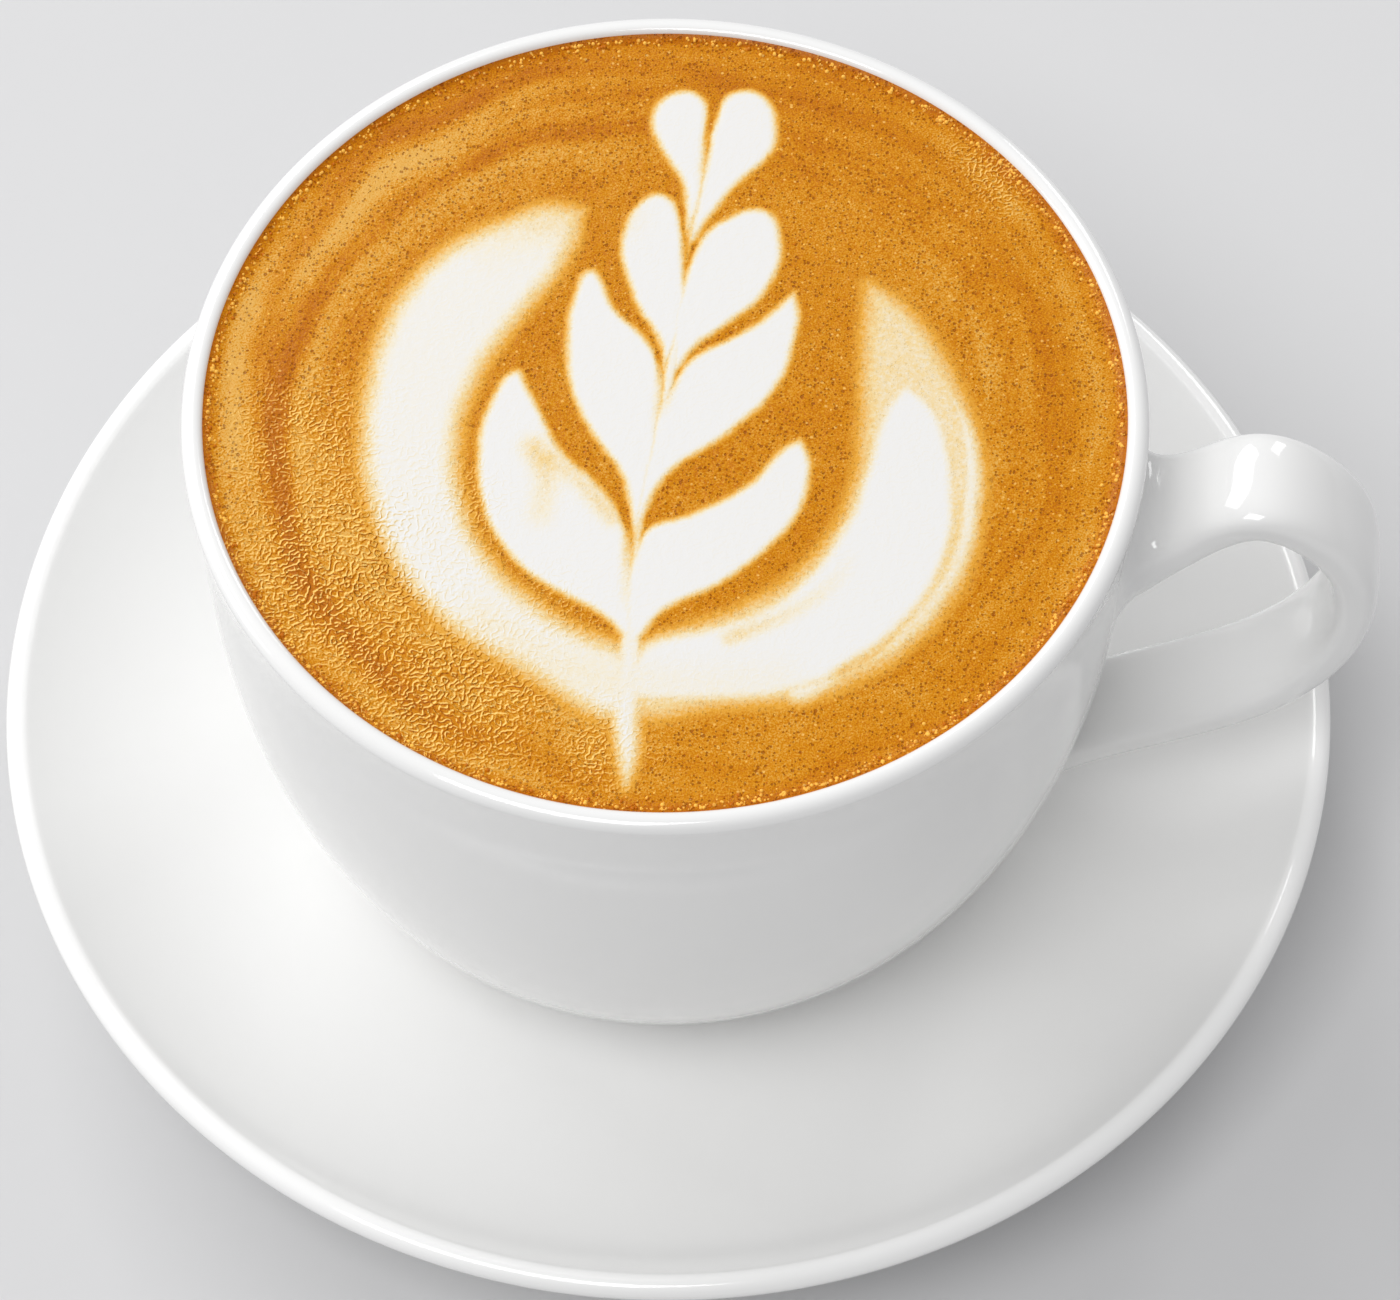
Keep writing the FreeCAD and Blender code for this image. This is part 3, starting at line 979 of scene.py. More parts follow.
@dataclass
class StrapHandle:
    """A broad strap bent into an ear, drawn out from the wall by a fillet at both roots."""

    body: CupBody
    reach: float = 75.8
    width: float = 11.8
    thickness: float = 5.4
    lower_thickness: float = 4.4
    squareness: float = 3.4
    sink: float = 2.4
    upper_flare: float = 2.3
    upper_flare_length: float = 13.0
    lower_flare: float = 1.3
    lower_flare_length: float = 16.0
    upper_root_drop: float = 17.2
    lower_root_drop: float = 62.5
    line_from_belly: Points = ((5.0, 13.2), (12.6, 7.7), (20.6, 12.6))
    grip_drop: float = 23.5
    line_to_belly: Points = ((17.0, 42.0), (6.2, 50.9))
    upper_fillet: float = 3.4
    lower_fillet: float = 2.2
    columns: int = 112
    rows: int = 170
    fillet_rows: int = 12
    halvings: int = 40
    buried: float = 0.9
    edge_sunk: float = 0.02

    def __post_init__(self) -> None:
        """Works out the centre line, and the distance of each of its places from its start."""
        self.path = self.centre_line()
        steps = np.linalg.norm(np.diff(self.path, axis=0), axis=1)
        self.along = np.concatenate([[0.0], np.cumsum(steps)])
        self.length = float(self.along[-1])

    def centre_line(self) -> np.ndarray:
        """Centre line from inside the upper wall to inside the lower one.

        Returns:
            x and z of its places.
        """
        body = self.body
        ends = np.array([self.upper_root_drop, self.lower_root_drop])
        upper, lower = body.outer_radius(ends) - self.sink
        places = [(upper, ends[0])]
        places += [(body.belly_radius + out, drop) for out, drop in self.line_from_belly]
        places += [(self.reach - self.thickness / 2, self.grip_drop)]
        places += [(body.belly_radius + out, drop) for out, drop in self.line_to_belly]
        places += [(lower, ends[1])]
        line = np.array(places)
        line[:, 1] = body.lip_z - line[:, 1]
        return smooth_path(line, 900)

    def section(self) -> np.ndarray:
        """Round of the strap: a superellipse, cos(a) and sin(a) each to the power 2 over n.

        Returns:
            Across and out of each column, evenly spaced round, in half widths and thicknesses.
        """
        angle = np.linspace(0.0, FULL_TURN, 4001)
        power = 2 / self.squareness
        across = np.sign(np.cos(angle)) * np.abs(np.cos(angle)) ** power
        out = np.sign(np.sin(angle)) * np.abs(np.sin(angle)) ** power
        shape = np.stack([across * self.width / 2, out * self.thickness / 2], axis=-1)
        return evenly(shape, self.columns + 1)[:-1] / (self.width / 2, self.thickness / 2)

    def surface(self, distance: np.ndarray) -> np.ndarray:
        """Strap's surface at distances along its centre line, one column for each round place.

        point = centre + across (w + g) Y + out (t + g) N, where w and t are the half sizes, N
        stands square to the centre line, and the growth g falls as a cube from each root.

        Args:
            distance: by row and column.

        Returns:
            Points by row, column and axis.
        """
        tangent = np.gradient(self.path, self.along, axis=0)
        tangent /= np.linalg.norm(tangent, axis=1)[:, None]
        x, z, tx, tz = (np.interp(distance, self.along, values) for values in (*self.path.T, *tangent.T))
        share = distance / self.length
        grow = self.growth(distance, self.upper_flare, self.upper_flare_length)
        grow = grow + self.growth(self.length - distance, self.lower_flare, self.lower_flare_length)
        half = (self.thickness * (1 - share) + self.lower_thickness * share) / 2
        across, out = self.section().T
        rise = out * (half + grow)
        return np.stack([x - tz * rise, across * (self.width / 2 + grow), z + tx * rise], axis=-1)

    def growth(self, distance: np.ndarray, flare: float, length: float) -> np.ndarray:
        """How much the strap grows on each side: flare times (1 - distance / length) cubed."""
        return flare * np.clip(1 - np.clip(distance - self.sink, 0.0, None) / length, 0.0, None) ** 3

    def outside(self, points: np.ndarray) -> np.ndarray:
        """How far points stand outside the cup's wall, measured level."""
        wall = self.body.outer_radius(self.body.lip_z - points[..., 2])
        return np.hypot(points[..., 0], points[..., 1]) - wall

    def crossing(self, root: Root) -> np.ndarray:
        """Distance along the strap at which each round place comes out of the wall.

        Args:
            root: which end.

        Returns:
            One distance for each column, found by halving.
        """
        free = 0.3 * self.length
        near = np.full(self.columns, 0.0 if root is Root.UPPER else self.length)
        far = np.full(self.columns, free if root is Root.UPPER else self.length - free)
        for _ in range(self.halvings):
            between = (near + far) / 2
            out = self.outside(self.surface(between[None, :])[0]) > 0
            far = np.where(out, between, far)
            near = np.where(out, near, between)
        return far

    def footprint(self, edge: np.ndarray, fillet: float) -> np.ndarray:
        """The fillet's outer edge on the wall: the strap's edge moved outwards along the wall.

        Args:
            edge: where each column of the strap comes out of the wall.
            fillet: how far the edge is moved.

        Returns:
            x, y and z of each column's place on the wall.
        """
        flat = edge[:, 1:]
        run = np.roll(flat, -2, axis=0) - np.roll(flat, 2, axis=0)
        square = np.stack([run[:, 1], -run[:, 0]], axis=-1) / np.linalg.norm(run, axis=1)[:, None]
        square *= np.sign(np.sum(square * (flat - flat.mean(axis=0)), axis=1).sum())
        y, z = (flat + square * fillet).T
        x = np.sqrt(self.body.outer_radius(self.body.lip_z - z) ** 2 - y**2)
        return np.stack([x, y, z], axis=-1)

    def root_rows(self, start: np.ndarray, fillet: float, root: Root) -> np.ndarray:
        """Rows from inside the wall out along the fillet, a curve pulled to the strap's edge.

        Each column follows (1-t)^2 F + 2t(1-t) W + t^2 S, where F is on the wall, W is where
        the strap would meet it and S is on the strap.

        Args:
            start: distance along the strap at which each column comes out of the wall.
            fillet: the fillet's size.
            root: which end.

        Returns:
            Points by row, column and axis, from the wall towards the strap.
        """
        edge = self.surface(start[None, :])[0]
        strap = self.surface((start + root.value * fillet)[None, :])[0]
        foot = self.footprint(edge, fillet)
        t = np.linspace(0.0, 1.0, self.fillet_rows)[:, None, None]
        curve = (1 - t) ** 2 * foot + 2 * t * (1 - t) * edge + t**2 * strap
        curve[0, :, 0] -= self.edge_sunk
        return np.concatenate([(foot - (self.buried, 0.0, 0.0))[None], curve])

    def build(self) -> bpy.types.Object:
        """Sweeps the strap between its two fillets and dresses it.

        Returns:
            The handle.
        """
        first, last = self.crossing(Root.UPPER), self.crossing(Root.LOWER)
        upper = self.root_rows(first, self.upper_fillet, Root.UPPER)
        lower = self.root_rows(last, self.lower_fillet, Root.LOWER)[::-1]
        share = np.linspace(0.0, 1.0, self.rows)[1:-1, None]
        start, end = first + self.upper_fillet, last - self.lower_fillet
        middle = self.surface(start * (1 - share) + end * share)
        grid = np.concatenate([upper, middle, lower])
        finish = Porcelain("handle_porcelain", Glaze.CUP, bare_below=0.0)
        piece = skin("cup_handle", grid, finish.material(), sharp_rows=(1, len(grid) - 2))
        settle(piece, "porcelain_cup", "cup")
        return piece


@dataclass
class Saucer:
    """The saucer: a rising side with a rolled edge, a shallow seat and a foot ring, all turned."""

    edge_radius: float = 1.45
    curl: float = 2.25
    thickness: float = 3.8
    foot_height: float = 3.0
    foot_radius: float = 38.0
    foot_width: float = 3.4
    foot_taper: float = 1.2
    foot_easing: float = 0.7
    seat_recess: float = 0.6
    seat_clearance: float = 0.7
    seat_easing: float = 0.3
    cup_foot_radius: float = 32.0
    rise: float = 15.9
    bare_below: float = 0.12
    columns: int = 360
    under_rows: int = 54
    roll_rows: int = 28
    upper_rows: int = 84

    def __post_init__(self) -> None:
        """Takes the saucer's radius from the frame, and works out its seat."""
        self.radius = float(node_box("saucer")[1][0])
        self.seat_z = self.foot_height + self.thickness
        self.seat_radius = self.cup_foot_radius + self.seat_clearance
        self.edge_x = self.radius - self.edge_radius

    def top(self, radius: np.ndarray) -> np.ndarray:
        """Height of the upper surface: the seat plus a power of the way out to the edge."""
        share = np.clip((radius - self.seat_radius) / (self.edge_x - self.seat_radius), 0.0, None)
        return self.seat_z + self.rise * share**self.curl

    def profile(self) -> np.ndarray:
        """Whole profile, from the middle of the underside round the edge to the seat.

        Both surfaces are parted from the top's curve: the upper one by the bead's radius times
        the fourth power of the way out, the lower one by the square of it and by a thickness
        that falls to nothing at the edge, where a half circle joins them.

        Returns:
            Radius and height of every row.
        """
        edge = np.array([self.edge_x, self.edge_x - SLOPE_STEP])
        slope = float((self.top(edge)[0] - self.top(edge)[1]) / SLOPE_STEP)
        along = np.array([1.0, slope]) / math.hypot(1.0, slope)
        over = np.array([-along[1], along[0]])
        share = np.linspace(0.0, 1.0, 400)[:, None]
        out = self.seat_radius + (self.edge_x - self.seat_radius) * share
        upper = np.concatenate([out, self.top(out)], axis=1) + over * self.edge_radius * share**4
        start = self.foot_radius + self.foot_taper
        out = start + (self.edge_x - start) * share
        drop = np.concatenate([np.zeros_like(share), self.thickness * (1 - share)], axis=1)
        under = np.concatenate([out, self.top(out)], axis=1) - drop - over * self.edge_radius * share**2
        bead = np.array([self.edge_x, self.seat_z + self.rise])
        turn = np.linspace(-math.pi / 2, math.pi / 2, self.roll_rows + 2)[1:-1, None]
        roll = bead + self.edge_radius * (along * np.cos(turn) + over * np.sin(turn))
        foot_in = self.foot_radius - self.foot_width
        under_z = self.foot_height - self.seat_recess
        foot = rounded([(NEAR_AXIS, under_z), (foot_in - self.foot_taper, under_z), (foot_in, 0.0),
                        (self.foot_radius, 0.0), tuple(under[0]), tuple(under[12])], self.foot_easing)
        seat_z = self.seat_z - self.seat_recess
        seat = rounded([tuple(upper[3]), tuple(upper[0]), (self.seat_radius - self.seat_recess, seat_z),
                        (NEAR_AXIS, seat_z)], self.seat_easing)
        return np.concatenate([foot, evenly(under[14:], self.under_rows), roll,
                               evenly(upper[:3:-1], self.upper_rows), seat])

    def build(self) -> bpy.types.Object:
        """Turns the profile and dresses it.

        Returns:
            The saucer.
        """
        finish = Porcelain("saucer_porcelain", Glaze.SAUCER_LIT, self.bare_below)
        piece = skin("saucer_plate", turned(self.profile(), self.columns), finish.material())
        settle(piece, "porcelain_saucer", "saucer")
        return piece


# ---- the drink ----


class Ripple(Enum):
    """Every unevenness of the drink, as its wave length in millimetres and its seed."""

    OUTLINE_X = (6.0, 3)
    OUTLINE_Y = (6.0, 4)
    OUTLINE_FINE_X = (1.6, 5)
    OUTLINE_FINE_Y = (1.6, 6)
    SWIRL_WANDER = (16.0, 11)
    BROAD_RINGS = (2.6, 12)
    FINE_RINGS = (1.1, 13)
    CREMA_PATCHES = (9.0, 14)
    FROTH_PATCHES = (6.0, 21)
    SURFACE = (1.6, 31)


def ripple(places: np.ndarray, kind: Ripple, waves: int = 9) -> np.ndarray:
    """Smooth unevenness from -1 to 1: the mean of plane waves of random directions, doubled.

    Args:
        places: x and y in the last axis.
        kind: which unevenness.
        waves: how many waves to add.

    Returns:
        One number for each place.
    """
    size, seed = kind.value
    chance = np.random.default_rng(seed)
    turn = chance.uniform(0.0, FULL_TURN, waves)
    wave = FULL_TURN / (size * chance.uniform(0.6, 1.6, waves))
    phase = chance.uniform(0.0, FULL_TURN, waves)
    run = places[..., :1] * (np.cos(turn) * wave) + places[..., 1:2] * (np.sin(turn) * wave)
    return np.clip(2 * np.sin(run + phase).mean(axis=-1), -1.0, 1.0)


def away(places: np.ndarray, line: np.ndarray) -> tuple[np.ndarray, np.ndarray]:
    """Distance of each place from a line of chords, and how far along it the nearest point is.

    Args:
        places: x and y of each place.
        line: x and y of the chords' ends.

    Returns:
        The distances, and the shares of the line from 0 to 1.
    """
    start, chord = line[:-1], np.diff(line, axis=0)
    off = places[:, None, :] - start[None]
    share = np.clip(np.sum(off * chord, axis=-1) / np.sum(chord**2, axis=-1), 0.0, 1.0)
    gap = np.linalg.norm(off - share[..., None] * chord, axis=-1)
    nearest = gap.argmin(axis=1)
    rows = np.arange(len(places))
    return gap[rows, nearest], (nearest + share[rows, nearest]) / len(chord)


@dataclass(frozen=True)
class Petal:
    """One patch of milk inside a closed outline that runs from its tip back to its tip."""

    outline: Points
    softness: float = 0.75
    milk: float = 1.0
    chords: int = 90

    def cover(self, places: np.ndarray) -> np.ndarray:
        """Milk at each place: full inside, falling smoothly over the softness at the edge.

        Args:
            places: x and y of each place.

        Returns:
            Milk from 0 to 1.
        """
        corners = np.array(self.outline + self.outline[:1])
        line = smooth_path(corners, self.chords)
        low, high = line.min(axis=0) - self.softness, line.max(axis=0) + self.softness
        close = np.all((places > low) & (places < high), axis=1)
        near = places[close]
        gap, _ = away(near, line)
        start, end = line[:-1], line[1:]
        straddles = (start[:, 1] > near[:, 1:2]) != (end[:, 1] > near[:, 1:2])
        rise = np.where(end[:, 1] == start[:, 1], 1e-9, end[:, 1] - start[:, 1])
        meets = start[:, 0] + (near[:, 1:2] - start[:, 1]) * (end[:, 0] - start[:, 0]) / rise
        inside = np.sum(straddles & (near[:, :1] < meets), axis=1) % 2 == 1
        cover = np.zeros(len(places))
        signed = np.where(inside, gap, -gap)
        cover[close] = self.milk * ease(0.5 + signed / (2 * self.softness))
        return cover


@dataclass(frozen=True)
class Seam:
    """A thin line of crema between petals, which fades along its way."""

    line: Points
    width: float = 0.5
    first: float = 0.8
    last: float = 0.0
    chords: int = 30

    def cut(self, places: np.ndarray) -> np.ndarray:
        """How much milk the seam takes away: a bell across it, a straight fade along it.

        Args:
            places: x and y of each place.

        Returns:
            The milk taken from each place.
        """
        gap, along = away(places, smooth_path(np.array(self.line), self.chords))
        return (self.first + (self.last - self.first) * along) * np.exp(-((gap / self.width) ** 2))


@dataclass(frozen=True)
class Swirl:
    """An arc of paler or deeper crema round the middle of the cup."""

    first_angle: float
    last_angle: float
    first_radius: float
    last_radius: float
    width: float
    strength: float
    fade: float = 22.0

    def tint(self, radius: np.ndarray, angle: np.ndarray) -> np.ndarray:
        """Tint at each place: a bell across the arc, eased at both of its ends.

        Args:
            radius: how far each place is from the middle.
            angle: its direction, in degrees.

        Returns:
            The tint to add.
        """
        span = self.last_angle - self.first_angle
        turn = (angle - self.first_angle + 180 - span / 2) % 360 - 180 + span / 2
        share = np.clip(turn / span, 0.0, 1.0)
        middle = self.first_radius + (self.last_radius - self.first_radius) * share
        begins = ease((turn + self.fade) / (2 * self.fade))
        stops = ease((span - turn + self.fade) / (2 * self.fade))
        return self.strength * begins * stops * np.exp(-(((radius - middle) / self.width) ** 2))


@dataclass(frozen=True)
class FrothPatch:
    """A soft round patch of crema that fine bubbles roughen, and where the froth's relief is painted in
    light and shade.
    """

    x: float
    y: float
    size: float
    most: float

    def cover(self, places: np.ndarray) -> np.ndarray:
        """Roughness at each place: a bell round the patch's middle."""
        gap = np.hypot(places[:, 0] - self.x, places[:, 1] - self.y) / self.size
        return self.most * np.exp(-(gap**2))


@dataclass(frozen=True)
class Rosetta:
    """The poured leaf: four pairs of petals up a spine, two crescents round them and a stem.

    Its points are x and y in millimetres on the drink, from the cup's axis.
    """

    petals: tuple[Petal, ...] = (
        Petal(((0.5, 21.5), (-0.1, 25.5), (-0.7, 28.3), (-2.0, 30.6), (-3.7, 33.2), (-4.7, 36.0),
               (-4.0, 38.6), (-2.3, 40.0), (-0.2, 40.1), (1.1, 38.6), (1.5, 36.0), (1.6, 31.0),
               (1.4, 26.0))),
        Petal(((0.7, 18.5), (1.5, 21.7), (3.0, 25.0), (4.8, 28.2), (7.2, 31.2), (8.5, 33.6), (8.7, 36.4),
               (7.6, 39.5), (5.8, 40.7), (4.0, 40.5), (2.7, 39.4), (2.0, 37.0), (1.6, 32.0),
               (1.0, 26.0))),
        Petal(((-0.6, 4.5), (-0.9, 6.5), (-1.6, 8.7), (-3.9, 12.4), (-5.9, 17.3), (-6.4, 20.2),
               (-6.0, 23.3),
               (-4.8, 25.6), (-3.2, 26.6), (-1.6, 25.9), (-0.4, 23.6), (0.1, 20.5), (0.7, 16.0),
               (0.8, 10.0))),
        Petal(((0.7, 3.5), (1.3, 5.6), (2.3, 7.6), (5.4, 10.8), (8.9, 14.7), (10.3, 19.0), (10.2, 22.5),
               (9.2, 24.9), (7.8, 25.6), (6.2, 25.2), (4.8, 24.3), (3.4, 23.2), (2.2, 21.6), (1.3, 19.4),
               (0.6, 16.5), (-0.2, 10.0))),
        Petal(((-8.8, 16.4), (-8.0, 15.0), (-7.2, 13.0), (-6.0, 11.3), (-3.4, 8.9), (-2.2, 7.4),
               (-1.2, 5.8),
               (-0.3, 1.5), (-0.7, -7.0), (-1.9, -15.5), (-2.3, -13.4), (-3.7, -8.4), (-7.1, -3.8),
               (-8.9, -0.8), (-10.7, 6.0), (-10.9, 10.5), (-10.3, 14.2), (-9.5, 16.2))),
        Petal(((12.1, 15.4), (12.7, 12.8), (12.7, 9.5), (10.9, 3.0), (7.0, -2.2), (2.2, -6.6),
               (0.4, -8.8),
               (-0.6, -11.6), (-1.7, -16.0), (-1.8, -10.0), (-1.0, -3.0), (-0.3, 1.6), (1.5, 5.2),
               (3.0, 6.9),
               (7.0, 9.7), (9.0, 11.5), (10.8, 13.8))),
        Petal(((-15.4, 3.3), (-14.2, 1.0), (-13.0, -1.5), (-9.6, -6.6), (-5.0, -10.8), (-3.4, -12.9),
               (-2.1, -16.5), (-1.2, -23.0), (-1.2, -28.4), (-2.4, -26.8), (-4.0, -25.3), (-11.0, -21.6),
               (-14.0, -18.9), (-16.5, -15.4), (-18.6, -7.0), (-18.3, -2.0), (-17.2, 1.2), (-16.3, 2.9))),
        Petal(((14.2, -2.9), (15.3, -5.0), (15.4, -8.0), (14.8, -11.0), (11.0, -17.0), (5.5, -21.8),
               (1.2, -25.0), (0.3, -27.0), (-0.6, -28.6), (-1.8, -25.0), (-2.0, -18.6), (-1.0, -15.6),
               (0.3, -14.3), (4.0, -12.6), (8.0, -9.8), (10.2, -7.6), (12.6, -4.0))),
        Petal(((-10.0, 24.2), (-14.0, 24.6), (-17.5, 23.0), (-24.3, 18.0), (-29.2, 9.6), (-30.8, 0.0),
               (-29.8, -11.0), (-25.5, -21.0), (-18.0, -28.8), (-9.0, -33.8), (-0.5, -36.6), (0.8, -32.0),
               (-1.0, -29.2), (-4.5, -28.0), (-10.5, -24.9), (-17.0, -18.8), (-20.5, -10.0),
               (-20.7, -2.0),
               (-17.4, 7.6), (-13.4, 14.8), (-11.4, 19.0)), softness=2.2, milk=0.96),
        Petal(((19.6, 17.2), (23.0, 15.4), (27.6, 9.6), (31.4, 2.0), (33.2, -8.0), (31.8, -18.0),
               (26.2, -27.0), (17.0, -33.2), (6.0, -35.6), (0.4, -36.4), (-1.6, -32.0), (-0.2, -28.9),
               (6.2, -25.2), (13.8, -20.0), (18.9, -12.0), (20.3, -3.0), (19.8, 7.0)),
              softness=2.0, milk=0.70),
        Petal(((24.4, 5.6), (27.6, 2.8), (30.3, -5.0), (30.8, -12.0), (29.4, -18.5), (23.5, -27.3),
               (16.0, -32.6), (4.0, -34.8), (-1.4, -34.0), (-0.6, -29.6), (8.0, -25.0), (16.2, -18.2),
               (20.4, -8.0), (21.4, -1.5), (22.6, 3.0)), softness=1.5, milk=1.0),
        Petal(((28.0, 7.0), (30.9, 2.3), (32.7, -3.0), (33.2, -8.0), (31.5, -18.0), (25.8, -26.8),
               (20.0, -31.2), (15.0, -33.4), (14.6, -32.8), (19.0, -30.2), (24.6, -25.2),
               (29.9, -15.5), (30.8, -8.0), (30.2, -1.6)),
              softness=1.3, milk=0.90),
        Petal(((0.5, 13.0), (0.95, 6.0), (0.8, 3.0), (0.3, -2.0), (-0.3, -8.0), (-0.75, -13.0),
               (-0.95, -17.0), (-0.9, -22.0), (-0.4, -26.0), (0.2, -28.5), (-0.2, -33.0), (-1.0, -35.0),
               (-1.8, -33.0), (-2.1, -28.5), (-1.9, -26.0), (-1.9, -22.0), (-1.9, -17.0), (-1.6, -13.0),
               (-1.2, -8.0), (-0.8, -2.0), (-0.55, 3.0), (-0.4, 6.0)), softness=0.6, milk=0.93),
        Petal(((0.1, -44.6), (-0.8, -42.0), (-1.6, -39.0), (-2.2, -36.0), (-2.9, -32.0), (-1.0, -27.5),
               (0.9, -32.0), (0.8, -36.0), (0.8, -39.0), (0.8, -42.0)), softness=1.5, milk=1.0),
    )
    seams: tuple[Seam, ...] = (
        Seam(((1.9, 41.0), (1.7, 37.0), (1.4, 33.0), (1.1, 28.0)), 0.5, 0.85, 0.0),
        Seam(((1.2, 20.6), (0.8, 18.0), (0.5, 14.0)), 0.4, 0.4, 0.0),
        Seam(((-0.4, 25.0), (0.0, 22.0), (0.2, 18.5)), 0.4, 0.35, 0.0),
        Seam(((-1.3, 6.6), (-1.0, 3.5), (-0.8, -0.5), (-1.0, -4.0)), 0.42, 0.4, 0.0),
        Seam(((1.1, 4.6), (0.4, 1.8), (-0.1, -1.5)), 0.42, 0.4, 0.0),
        Seam(((-3.0, -12.5), (-2.6, -16.0), (-2.3, -20.0), (-1.9, -25.0)), 0.5, 0.5, 0.0),
        Seam(((-0.7, -13.2), (-1.3, -16.5), (-1.7, -20.5)), 0.45, 0.35, 0.0),
        Seam(((-12.9, -6.0), (-11.5, -9.0), (-11.6, -14.0)), 1.4, 0.30, 0.14),
        Seam(((-11.0, -7.0), (-7.6, -9.8), (-4.2, -13.4)), 1.2, 0.20, 0.30),
        Seam(((21.0, -15.0), (18.4, -20.0), (14.0, -23.8), (9.0, -26.8)), 0.9, 0.0, 0.3),
        Seam(((31.2, -9.0), (30.2, -17.0), (26.6, -24.0), (20.4, -29.6)), 0.8, 0.05, 0.20),
        Seam(((-9.0, 24.0), (-14.0, 22.5), (-19.0, 20.5), (-23.0, 16.0)), 3.2, 0.33, 0.0),
        Seam(((-16.0, -27.5), (-8.0, -31.5), (2.0, -33.0), (14.0, -31.5)), 3.0, 0.12, 0.06),
    )
    waver: float = 0.12
    fine_waver: float = 0.4

    def milk(self, places: np.ndarray) -> np.ndarray:
        """Milk at each place, the most that any petal gives less what the seams take.

        Args:
            places: x and y of each place.

        Returns:
            Milk from 0 to 1.
        """
        shift = np.stack([ripple(places, Ripple.OUTLINE_X), ripple(places, Ripple.OUTLINE_Y)], axis=-1)
        fine = np.stack([ripple(places, Ripple.OUTLINE_FINE_X),
                         ripple(places, Ripple.OUTLINE_FINE_Y)], axis=-1)
        moved = places + self.waver * (shift + self.fine_waver * fine)
        milk = np.max([petal.cover(moved) for petal in self.petals], axis=0)
        for seam in self.seams:
            milk -= seam.cut(moved)
        return np.clip(milk, 0.0, 1.0)


@dataclass
class Drink:
    """The latte, filled to just under the lip, with its crema, its poured leaf and its froth."""

    body: CupBody
    art: Rosetta = Rosetta()
    crown: float = 0.35
    meniscus: float = 0.5
    meniscus_width: float = 0.6
    into_wall: float = 0.12
    well_starts: float = 1.5
    art_relief: float = 0.10
    unevenness: float = 0.03
    foam_smoothness: float = 0.85
    level_edge: float = 1.5
    surface_rows: int = 150
    well_rows: int = 30
    columns: int = 520
    base_tone: float = 0.46
    wander: float = 0.8
    rings_from: float = 24.0
    rings_full: float = 14.0
    broad_rings: float = 0.10
    fine_rings: float = 0.08
    patches: float = 0.07
    edge_tone: float = 0.46
    edge_shade: float = 1.0
    least_froth: float = 0.10
    froth_change: float = 0.35
    swirls: tuple[Swirl, ...] = (
        Swirl(100, 165, 44.8, 44.6, 1.5, -0.20),
        Swirl(112, 178, 42.2, 40.8, 1.3, 0.34),
        Swirl(96, 150, 38.6, 41.0, 0.9, 0.20),
        Swirl(92, 205, 35.4, 40.6, 1.2, -0.24),
        Swirl(98, 190, 32.6, 37.6, 1.6, 0.30),
        Swirl(150, 205, 44.8, 45.0, 1.5, 0.50),
        Swirl(168, 246, 40.2, 42.2, 1.5, -0.50),
        Swirl(205, 250, 45.8, 45.8, 1.0, 0.22),
        Swirl(214, 250, 39.6, 39.6, 3.0, -0.26),
        Swirl(130, 164, 39.6, 39.6, 2.4, 0.24, 10.0),
        Swirl(190, 262, 37.5, 38.0, 6.0, 0.34),
        Swirl(330, 402, 40.6, 40.4, 2.0, -0.10),
        Swirl(330, 395, 44.8, 44.6, 1.2, 0.16),
        Swirl(345, 412, 34.4, 32.0, 1.9, 0.17),
        Swirl(36, 62, 44.4, 44.4, 1.5, 0.20, 8.0),
        Swirl(262, 310, 40.0, 40.0, 3.0, 0.14),
        Swirl(20, 70, 28.0, 27.0, 2.6, 0.08),
        Swirl(60, 118, 42.0, 42.0, 6.0, -0.12),
    )
    froth_patches: tuple[FrothPatch, ...] = (
        FrothPatch(-30.0, -22.0, 13.0, 1.0),
        FrothPatch(-19.0, -35.0, 10.0, 0.95),
        FrothPatch(-36.0, -7.0, 9.0, 0.62),
        FrothPatch(-3.0, -40.0, 7.0, 0.5),
        FrothPatch(-20.0, -13.0, 5.0, 0.6),
        FrothPatch(-9.0, -25.0, 5.0, 0.5),
        FrothPatch(33.0, 33.0, 7.0, 0.45),
    )

    def __post_init__(self) -> None:
        """Takes the drink's level and radius from the frame, and sinks its edge into the wall."""
        high = node_box("latte")[1]
        self.edge_z = float(high[2]) - self.crown
        self.radius = float(high[0]) + self.into_wall

    def level(self, radius: np.ndarray, edge: float) -> np.ndarray:
        """Height of the smooth surface: a crown that falls as a square, and a rise at the wall.

        Args:
            radius: how far each place is from the middle.
            edge: the radius at which the rise is full.

        Returns:
            The height at each place.
        """
        crown = self.edge_z + self.crown * (1 - (radius / edge) ** 2)
        return crown + self.meniscus * np.exp(-(edge - radius) / self.meniscus_width)

    def tone(self, places: np.ndarray) -> np.ndarray:
        """Crema from deep, 0, to pale, 1: its swirls, fine rings and a dark edge.

        Args:
            places: x and y of each place.

        Returns:
            One number for each place.
        """
        radius = np.hypot(places[:, 0], places[:, 1])
        angle = np.degrees(np.arctan2(places[:, 1], places[:, 0]))
        wandering = radius + self.wander * ripple(places, Ripple.SWIRL_WANDER)
        tone = np.full(len(places), self.base_tone)
        for swirl in self.swirls:
            tone += swirl.tint(wandering, angle)
        rings = np.stack([wandering, np.radians(angle % 360) * 2.0], axis=-1)
        outer = ease((radius - self.rings_from) / self.rings_full)
        tone += outer * (self.broad_rings * ripple(rings, Ripple.BROAD_RINGS)
                         + self.fine_rings * ripple(rings, Ripple.FINE_RINGS))
        tone += self.patches * ripple(places, Ripple.CREMA_PATCHES)
        tone -= self.edge_tone * np.exp(-(((self.radius - radius) / self.edge_shade) ** 2))
        return np.clip(tone, 0.0, 1.0)

